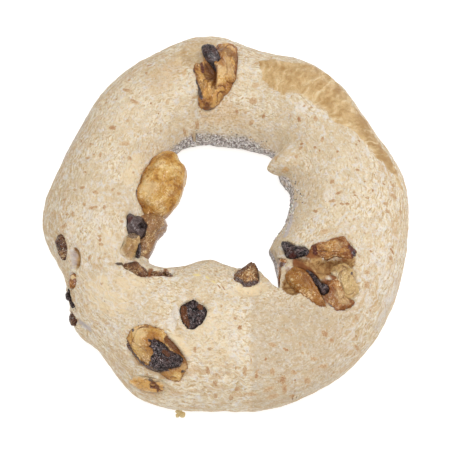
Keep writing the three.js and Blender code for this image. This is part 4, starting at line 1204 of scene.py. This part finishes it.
def raisin_material(name, flesh, settings):
    """Raisin plumped in the dough and scorched where it stood out: tight, syrupy skin that shines, with painted
    glints; paler on its blisters, with painted highlights at the pale marks; wine-dark with painted shade in
    its folds and where it meets the dough; and charred to a brittle purple-black where it caught, with painted
    highlights on the char's ridges."""
    material, tree = empty_material(name)
    mm = in_millimetres(tree)
    broad = node(tree, "ShaderNodeTexNoise", {"Vector": mm, "Scale": 0.22, "Detail": 2.0})
    middle = node(tree, "ShaderNodeTexNoise", {"Vector": mm, "Scale": 0.9, "Detail": 4.0, "Distortion": 0.8})
    patch = node(tree, "ShaderNodeTexNoise", {"Vector": mm, "Scale": 0.45, "Detail": 3.0, "Distortion": 0.6})
    grain = node(tree, "ShaderNodeTexNoise", {"Vector": mm, "Scale": 3.2, "Detail": 2.0})
    spark = node(tree, "ShaderNodeTexNoise", {"Vector": mm, "Scale": 1.7, "Detail": 4.0, "Roughness": 0.7,
                                              "Distortion": 1.2})
    spark = node(tree, "ShaderNodeMath", {0: broad, 1: 0.5, 2: spark}, operation="MULTIPLY_ADD")
    wrinkle = node(tree, "ShaderNodeTexNoise", {"Vector": mm, "Scale": 1.5, "Detail": 3.0, "Distortion": 1.6})
    paler = node(tree, "ShaderNodeAttribute", out=2, attribute_name="paler")
    wan = node(tree, "ShaderNodeAttribute", out=2, attribute_name="wan")
    deep, body, bright, ruddy = flesh
    share = node(tree, "ShaderNodeMath", {0: middle, 1: 0.8, 2: broad}, operation="MULTIPLY_ADD")
    share = node(tree, "ShaderNodeMath", {0: paler, 1: 0.14, 2: share}, operation="MULTIPLY_ADD")
    low = node(tree, "ShaderNodeMapRange", {0: share, 1: 0.76, 2: 0.91})
    high = node(tree, "ShaderNodeMapRange", {0: share, 1: 0.94, 2: 1.12})
    red = node(tree, "ShaderNodeMapRange", {0: patch, 1: 0.53, 2: 0.66, 4: 0.55})
    # Painted shade: ruddy in a band where the raisin meets the dough.
    edge = ragged_mask(tree, "edge", middle, 0.1, 1.0, 0.6)
    edge = node(tree, "ShaderNodeMath", {0: edge, 1: 0.6}, operation="MULTIPLY")
    wan = node(tree, "ShaderNodeMath", {0: wan, 1: 0.9}, operation="MULTIPLY")
    line = node(tree, "ShaderNodeMath", {0: wrinkle, 1: 0.5}, operation="SUBTRACT")
    line = node(tree, "ShaderNodeMath", {0: line}, operation="ABSOLUTE")
    dark_line = node(tree, "ShaderNodeMapRange", {0: line, 1: 0.030, 2: 0.008, 4: 0.22})
    # Painted glints: small pale spots where the noise peaks.
    glint = node(tree, "ShaderNodeMapRange", {0: spark, 1: 0.83, 2: 0.89, 4: 0.75})
    colour = coated(tree, deep, [
        (low, body), (high, bright), (red, ruddy), (edge, ruddy), (dark_line, ruddy), (wan, "#B2966C"),
        (glint, "#FCDFAE")])

    # Charred skin: thin ridges of painted highlight over black, and wine-red where it is not burnt through.
    ridge = node(tree, "ShaderNodeMath", {0: grain, 1: -0.10, 2: line}, operation="MULTIPLY_ADD")
    ridge_highlight = node(tree, "ShaderNodeMapRange", {0: ridge, 1: -0.015, 2: -0.05, 4: 0.85})
    red = node(tree, "ShaderNodeMapRange", {0: middle, 1: 0.56, 2: 0.68, 4: 0.8})
    burnt = coated(tree, settings.char, [(red, "#4C2A26"), (ridge_highlight, settings.char_highlight)])
    # Over it: pale blisters and painted highlights, painted shade in the folds and at the seam, flour,
    # wine-dark spots, brown hollows and char.
    colour = coated(tree, colour, [
        (ragged_mask(tree, attribute, middle, start, end, 0.6), tint) for attribute, tint, start, end in (
            ("pale", settings.pale, 0.15, 0.85), ("crease", settings.fold, 0.15, 0.95),
            ("floury", "#DFCBA8", 0.2, 0.8), ("wine", "#5E2A22", 0.3, 0.7), ("hollow", "#7A4A22", 0.35, 0.6),
            ("seam", "#6A3A16", 0.55, 1.4), ("char", burnt, 0.35, 0.6))])
    height = 0.0
    for value, rise in ((grain, 0.16), (middle, 0.45), (wrinkle, 0.25)):
        height = node(tree, "ShaderNodeMath", {0: value, 1: rise, 2: height}, operation="MULTIPLY_ADD")
    bump = node(tree, "ShaderNodeBump", {"Height": height, "Distance": 0.001, "Strength": 0.9})
    rough = node(tree, "ShaderNodeMapRange", {0: grain, 1: 0.35, 2: 0.65, 3: 0.14, 4: 0.38})
    shader = node(tree, "ShaderNodeBsdfPrincipled", {
        "Base Color": colour, "Roughness": rough, "Normal": bump, "Subsurface Weight": 0.1,
        "Subsurface Radius": (1.0, 0.5, 0.25), "Subsurface Scale": 0.0012, "Specular IOR Level": 0.35,
        "Coat Weight": 0.3, "Coat Roughness": 0.06})
    node(tree, "ShaderNodeOutputMaterial", {0: shader})
    return material


def char_material(settings):
    """Raisin burnt right through: brittle purple-black skin, wine-red in places, with thin lavender-grey ridges
    of painted highlight, and near black with painted shade in its folds and where it meets the dough."""
    material, tree = empty_material("char_raisin_skin")
    mm = in_millimetres(tree)
    middle = node(tree, "ShaderNodeTexNoise", {"Vector": mm, "Scale": 0.7, "Detail": 3.0, "Distortion": 0.8})
    grain = node(tree, "ShaderNodeTexNoise", {"Vector": mm, "Scale": 3.0, "Detail": 2.0})
    wrinkle = node(tree, "ShaderNodeTexNoise", {"Vector": mm, "Scale": 1.1, "Detail": 3.0, "Distortion": 1.8})
    ridge = node(tree, "ShaderNodeMath", {0: wrinkle, 1: 0.5}, operation="SUBTRACT")
    ridge = node(tree, "ShaderNodeMath", {0: ridge}, operation="ABSOLUTE")
    ridge = node(tree, "ShaderNodeMath", {0: grain, 1: -0.12, 2: ridge}, operation="MULTIPLY_ADD")
    ridge_highlight = node(tree, "ShaderNodeMapRange", {0: ridge, 1: -0.02, 2: -0.06, 4: 0.9})
    red = node(tree, "ShaderNodeMapRange", {0: middle, 1: 0.52, 2: 0.64, 4: 0.85})
    black = node(tree, "ShaderNodeMapRange", {0: middle, 1: 0.46, 2: 0.36})
    wan = node(tree, "ShaderNodeAttribute", out=2, attribute_name="wan")
    # Over the char: painted highlights on its ridges, and painted shade near black in the folds and at the
    # seam.
    colour = coated(tree, settings.char, [
        (red, "#4A291F"), (ridge_highlight, settings.char_highlight), (black, "#160E0D"), (wan, "#85736F")] + [
        (ragged_mask(tree, attribute, grain, start, end, 0.45), tint) for attribute, tint, start, end in (
            ("crease", "#1A1113", 0.2, 0.9), ("wine", "#5E2A22", 0.3, 0.7), ("hollow", "#7A4A2C", 0.35, 0.6),
            ("seam", "#2A1916", 0.2, 0.9))])
    height = 0.0
    for value, rise in ((grain, 0.16), (ridge, -1.2)):
        height = node(tree, "ShaderNodeMath", {0: value, 1: rise, 2: height}, operation="MULTIPLY_ADD")
    bump = node(tree, "ShaderNodeBump", {"Height": height, "Distance": 0.001, "Strength": 0.9})
    shader = node(tree, "ShaderNodeBsdfPrincipled", {
        "Base Color": colour, "Roughness": 0.28, "Normal": bump, "Specular IOR Level": 0.15,
        "Coat Weight": 0.35, "Coat Roughness": 0.05})
    node(tree, "ShaderNodeOutputMaterial", {0: shader})
    return material


def bran_material(settings):
    """Flakes of wheat bran: thin papery husk, mottled tan and red-brown, its broken edge lost in the flour."""
    material, tree = empty_material("wheat_bran")
    mm = in_millimetres(tree)
    mottle = node(tree, "ShaderNodeTexNoise", {"Vector": mm, "Scale": 1.9, "Detail": 3.0})
    broken = node(tree, "ShaderNodeTexNoise", {"Vector": mm, "Scale": 2.6, "Detail": 2.0})
    dark = node(tree, "ShaderNodeAttribute", out=2, attribute_name="dark")
    rim = node(tree, "ShaderNodeAttribute", out=2, attribute_name="rim")
    share = node(tree, "ShaderNodeMath", {0: mottle, 1: 1.6, 2: -0.6}, operation="MULTIPLY_ADD")
    share = node(tree, "ShaderNodeMath", {0: dark, 1: share}, operation="ADD", use_clamp=True)
    yellow = node(tree, "ShaderNodeMapRange", {0: dark, 1: 0.0, 2: -0.5})
    edge = node(tree, "ShaderNodeMath", {0: broken, 1: 2.2, 2: rim}, operation="MULTIPLY_ADD")
    edge = node(tree, "ShaderNodeMapRange", {0: edge, 1: 1.60, 2: 2.10, 4: 0.95})
    colour = coated(tree, "#DCC19A", [(share, "#AB7B53"), (yellow, "#E3CF93"), (edge, "#DCC8A5")])
    bump = node(tree, "ShaderNodeBump", {"Height": mottle, "Distance": 0.0001, "Strength": 0.6})
    shader = node(tree, "ShaderNodeBsdfPrincipled", {"Base Color": colour, "Roughness": 0.8, "Normal": bump})
    node(tree, "ShaderNodeOutputMaterial", {0: shader})
    return material


def meal_material():
    """Semolina grains: hard, glassy pieces of wheat, nearly white, painted dark grey in patches as shade so
    that they glitter on the inner wall.
    """
    material, tree = empty_material("semolina_meal")
    mm = in_millimetres(tree)
    mottle = node(tree, "ShaderNodeTexNoise", {"Vector": mm, "Scale": 1.0, "Detail": 3.0})
    share = node(tree, "ShaderNodeMapRange", {0: mottle, 1: 0.46, 2: 0.54})
    colour = node(tree, "ShaderNodeMix", {0: share, 6: rgba("#6F635B"), 7: rgba("#FBF9F6")},
                  out=2, data_type="RGBA")
    shader = node(tree, "ShaderNodeBsdfPrincipled", {
        "Base Color": colour, "Roughness": 0.35, "Subsurface Weight": 0.2, "Subsurface Scale": 0.0005})
    node(tree, "ShaderNodeOutputMaterial", {0: shader})
    return material


def floor_material(tint, glow):
    """Matt white paper on a light table: it throws no dark shadow and gives light back to the bread."""
    material, tree = empty_material("white_paper")
    diffuse = node(tree, "ShaderNodeBsdfDiffuse", {0: rgba([0.5 * part for part in tint])})
    shine = node(tree, "ShaderNodeEmission", {0: rgba(tint), 1: glow})
    both = node(tree, "ShaderNodeAddShader", {0: diffuse, 1: shine})
    node(tree, "ShaderNodeOutputMaterial", {0: both})
    return material


# ---------------------------------------------------------------- sizes, colours and light to change

class BreadSizes(bpy.types.PropertyGroup):
    steps_round: IntProperty(name="Steps round", description="Steps of the dough along the rope",
                             default=640, min=92, max=660)
    steps_section: IntProperty(name="Steps across", description="Steps of the dough round its section",
                               default=150, min=26, max=150)
    relief: FloatProperty(name="Crust relief", description="How lumpy the crust is: 1 is as in the real bread",
                          default=1.0, min=0.0, max=2.0, subtype="FACTOR")
    folds: FloatProperty(name="Raisin folds", description="How deeply the raisins are folded and blistered",
                         default=1.0, min=0.0, max=2.0, subtype="FACTOR")
    flake_rise: FloatProperty(name="Bran rise", description="How far a flake of bran stands out of the crust",
                              default=0.05 * MM, min=0.0, max=0.3 * MM, unit="LENGTH", precision=5)
    grain_smallest: FloatProperty(name="Smallest grain", description="Radius of the smallest grain of meal",
                                  default=0.10 * MM, min=0.02 * MM, max=1 * MM, unit="LENGTH", precision=5)
    grain_largest: FloatProperty(name="Largest grain", description="Radius of the largest grain of meal",
                                 default=0.34 * MM, min=0.02 * MM, max=1 * MM, unit="LENGTH", precision=5)
    grain_apart: FloatProperty(name="Grain spacing", description="Least distance between two grains of meal",
                               default=0.55 * MM, min=0.3 * MM, max=5 * MM, unit="LENGTH", precision=5)


def colour_property(name, description, code):
    """A colour to pick, from an sRGB hex code."""
    return FloatVectorProperty(name=name, description=description, default=linear(code), subtype="COLOR",
                               min=0.0, max=1.0)


class BreadColours(bpy.types.PropertyGroup):
    crust: colour_property("Crust", "The crust where it is palest", "#E9D7B7")
    # Through the tone it also carries the painted shade on the inner wall.
    crust_dark: colour_property("Crust shade", "The crust where it took more colour", "#D2BD9B")
    crust_tan: colour_property("Crust folds", "Fine folds that baked tan", "#C4A477")
    # Painted highlight on the ridges of the fine folds.
    crust_fold_highlight: colour_property("Pale folds", "Fine folds that hold flour", "#F3E9D4")
    flour: colour_property("Flour", "Flour lying on the crust", "#E9E0D4")
    bran: colour_property("Bran fleck", "Flecks of bran in the dough", "#BC9062")
    glaze: colour_property("Bare crust", "The patch with no flour on it", "#DBBA87")
    glaze_dark: colour_property("Bare crust shade", "Where the bare patch is darkest", "#B8925C")
    golden: colour_property("Golden raisin", "Skin of the palest raisins", "#CF9A49")
    amber: colour_property("Amber raisin", "Skin of the middling raisins", "#B67E3D")
    brown: colour_property("Brown raisin", "Skin of the small brown raisins", "#704526")
    # Also the colour of the painted highlights at the pale marks.
    pale: colour_property("Raisin blister", "Blisters of the raisin skin", "#E6C692")
    # Painted shade in the bottoms of the raisin's folds.
    fold: colour_property("Raisin fold", "The bottoms of the raisin's folds", "#75431F")
    char: colour_property("Char", "Scorched raisin skin", "#2B1A1C")
    # Painted highlights on the ridges of the char.
    char_highlight: colour_property("Char bloom", "The ridges of bloom on scorched skin", "#B5A3A2")
    floor: colour_property("Floor", "The plain floor", "#FFFFFF")


class BreadLight(bpy.types.PropertyGroup):
    key: FloatProperty(name="Key light", description="Power of the softbox overhead", default=1.85,
                       min=0.0, max=50.0, unit="POWER")
    side: FloatProperty(name="Side light", description="Power of the softbox at the side", default=0.5,
                        min=0.0, max=50.0, unit="POWER")
    sky: FloatProperty(name="Sky", description="Strength of the even light from all round", default=0.45,
                       min=0.0, max=3.0)
    glow: FloatProperty(name="Floor glow", description="Light that the bright floor gives back", default=0.75,
                        min=0.0, max=3.0)
    floor_size: FloatProperty(name="Floor size", description="Side of the floor", default=4.0,
                              min=0.5, max=20.0, unit="LENGTH")


# ---------------------------------------------------------------- operators

# Raisin flesh of each finish: deep in the skin, its own colour by the name of its property, bright, and ruddy.
FLESH = {"golden": ("#A36C28", "golden", "#E6C078", "#9E6126"),
         "amber": ("#864E1C", "amber", "#DDAA5E", "#8A4A20"),
         "brown": ("#3F2414", "brown", "#AE7A42", "#522A18")}


class RINGBREAD_OT_dough(bpy.types.Operator):
    """Makes the rope of dough with its crease, pits, lips and crust"""
    bl_idname = "ring_bread.dough"
    bl_label = "Dough"

    def execute(self, context):
        points, faces, values, uv = dough(context.scene.bread_sizes)
        crust = crust_material(context.scene.bread_colours)
        piece = finished("floured_rope", points, faces, values, crust, uv)
        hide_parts("dough_ring")
        return {"FINISHED"}


class RINGBREAD_OT_raisins(bpy.types.Operator):
    """Makes the raisins in their pockets, folded, blistered and scorched"""
    bl_idname = "ring_bread.raisins"
    bl_label = "Raisins"

    def execute(self, context):
        colours = context.scene.bread_colours
        ground = surface_of(bpy.data.objects["floured_rope"])
        skins = {"char": char_material(colours)}
        for finish, (deep, body, bright, ruddy) in FLESH.items():
            flesh = (deep, getattr(colours, body), bright, ruddy)
            skins[finish] = raisin_material(finish + "_raisin_skin", flesh, colours)
        for part in RAISINS:
            finish = next(f for f, parts in FINISHES.items() if part in parts)
            points, faces, values = raisin(part, finish, ground, context.scene.bread_sizes)
            piece = finished("plumped_" + part, points, faces, values, skins[finish])
            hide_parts("raisin_" + part)
        return {"FINISHED"}


class RINGBREAD_OT_bran(bpy.types.Operator):
    """Lays the flakes of bran that show on the crust"""
    bl_idname = "ring_bread.bran"
    bl_label = "Bran flakes"

    def execute(self, context):
        tree = surface_of(bpy.data.objects["floured_rope"])
        points, faces, values = bran_flakes(tree, context.scene.bread_sizes)
        finished("bran_flakes", points, faces, values, bran_material(context.scene.bread_colours))
        return {"FINISHED"}


class RINGBREAD_OT_meal(bpy.types.Operator):
    """Sows the grains of meal on the inner wall"""
    bl_idname = "ring_bread.meal"
    bl_label = "Meal grains"

    def execute(self, context):
        sizes = context.scene.bread_sizes
        sown("meal_grains", bpy.data.objects["floured_rope"], "meal", sizes.grain_apart,
             (sizes.grain_smallest, sizes.grain_largest), MEAL_SEED, meal_material())
        return {"FINISHED"}


class RINGBREAD_OT_crumb(bpy.types.Operator):
    """Drops the loose crumb in front of the bread"""
    bl_idname = "ring_bread.crumb"
    bl_label = "Crumb"

    def execute(self, context):
        points, faces = crumb()
        values = {"dark": np.full(len(points), -0.3), "rim": np.zeros(len(points))}
        husk = bpy.data.objects["bran_flakes"].data.materials[0]
        finished("loose_crumb", points, faces, values, husk)
        return {"FINISHED"}


class RINGBREAD_OT_stage(bpy.types.Operator):
    """Makes the floor, the lights and the camera"""
    bl_idname = "ring_bread.stage"
    bl_label = "Stage"

    def execute(self, context):
        light = context.scene.bread_light
        scene = context.scene
        half = light.floor_size / 2
        mesh = bpy.data.meshes.new("floor")
        corners = [(x * half, y * half, FLOOR) for x, y in ((-1, -1), (1, -1), (1, 1), (-1, 1))]
        mesh.from_pydata(corners, [], [(0, 1, 2, 3)])
        floor = bpy.data.objects.new("floor", mesh)
        scene.collection.objects.link(floor)
        mesh.materials.append(floor_material(context.scene.bread_colours.floor, light.glow))

        world = bpy.data.worlds.new("studio")
        world.use_nodes = True
        world.node_tree.nodes.clear()
        sky = node(world.node_tree, "ShaderNodeBackground", {0: (1, 1, 1, 1), 1: light.sky})
        node(world.node_tree, "ShaderNodeOutputWorld", {0: sky})
        scene.world = world

        for name, size, place in SOFTBOXES:
            lamp = bpy.data.lights.new(name, "AREA")
            lamp.energy, lamp.size = getattr(light, name), size
            box = bpy.data.objects.new(name, lamp)
            box.location = place
            box.rotation_euler = Vector(place).to_track_quat("Z", "Y").to_euler()
            scene.collection.objects.link(box)

        lens = bpy.data.cameras.new("camera")
        lens.sensor_width, lens.lens = SENSOR, LENS
        lens.clip_start, lens.clip_end = 0.01, 20
        camera = bpy.data.objects.new("camera", lens)
        camera.location, camera.rotation_euler = EYE, (math.radians(90 - LOOK_DOWN), 0, 0)
        scene.collection.objects.link(camera)
        scene.camera = camera
        scene.view_settings.view_transform = "Standard"
        return {"FINISHED"}


class RINGBREAD_PT_panel(bpy.types.Panel):
    """Lists the sizes, colours, light and steps of the ring bread"""
    bl_idname = "RINGBREAD_PT_panel"
    bl_label = "Ring Bread"
    bl_space_type = "VIEW_3D"
    bl_region_type = "UI"
    bl_category = "Ring Bread"

    def draw(self, context):
        for step in STEPS:
            self.layout.operator(step.bl_idname)
        for group in (context.scene.bread_sizes, context.scene.bread_colours, context.scene.bread_light):
            for name in group.__annotations__:
                self.layout.prop(group, name)


STEPS = (RINGBREAD_OT_dough, RINGBREAD_OT_raisins, RINGBREAD_OT_bran, RINGBREAD_OT_meal, RINGBREAD_OT_crumb,
         RINGBREAD_OT_stage)
CLASSES = (BreadSizes, BreadColours, BreadLight, *STEPS, RINGBREAD_PT_panel)


def register():
    for made in CLASSES:
        bpy.utils.register_class(made)
    bpy.types.Scene.bread_sizes = PointerProperty(type=BreadSizes)
    bpy.types.Scene.bread_colours = PointerProperty(type=BreadColours)
    bpy.types.Scene.bread_light = PointerProperty(type=BreadLight)


def unregister():
    for name in ("bread_sizes", "bread_colours", "bread_light"):
        delattr(bpy.types.Scene, name)
    for made in reversed(CLASSES):
        bpy.utils.unregister_class(made)


def main():
    register()
    for step in STEPS:
        family, action = step.bl_idname.split(".")
        getattr(getattr(bpy.ops, family), action)()


if __name__ == "__main__":
    main()
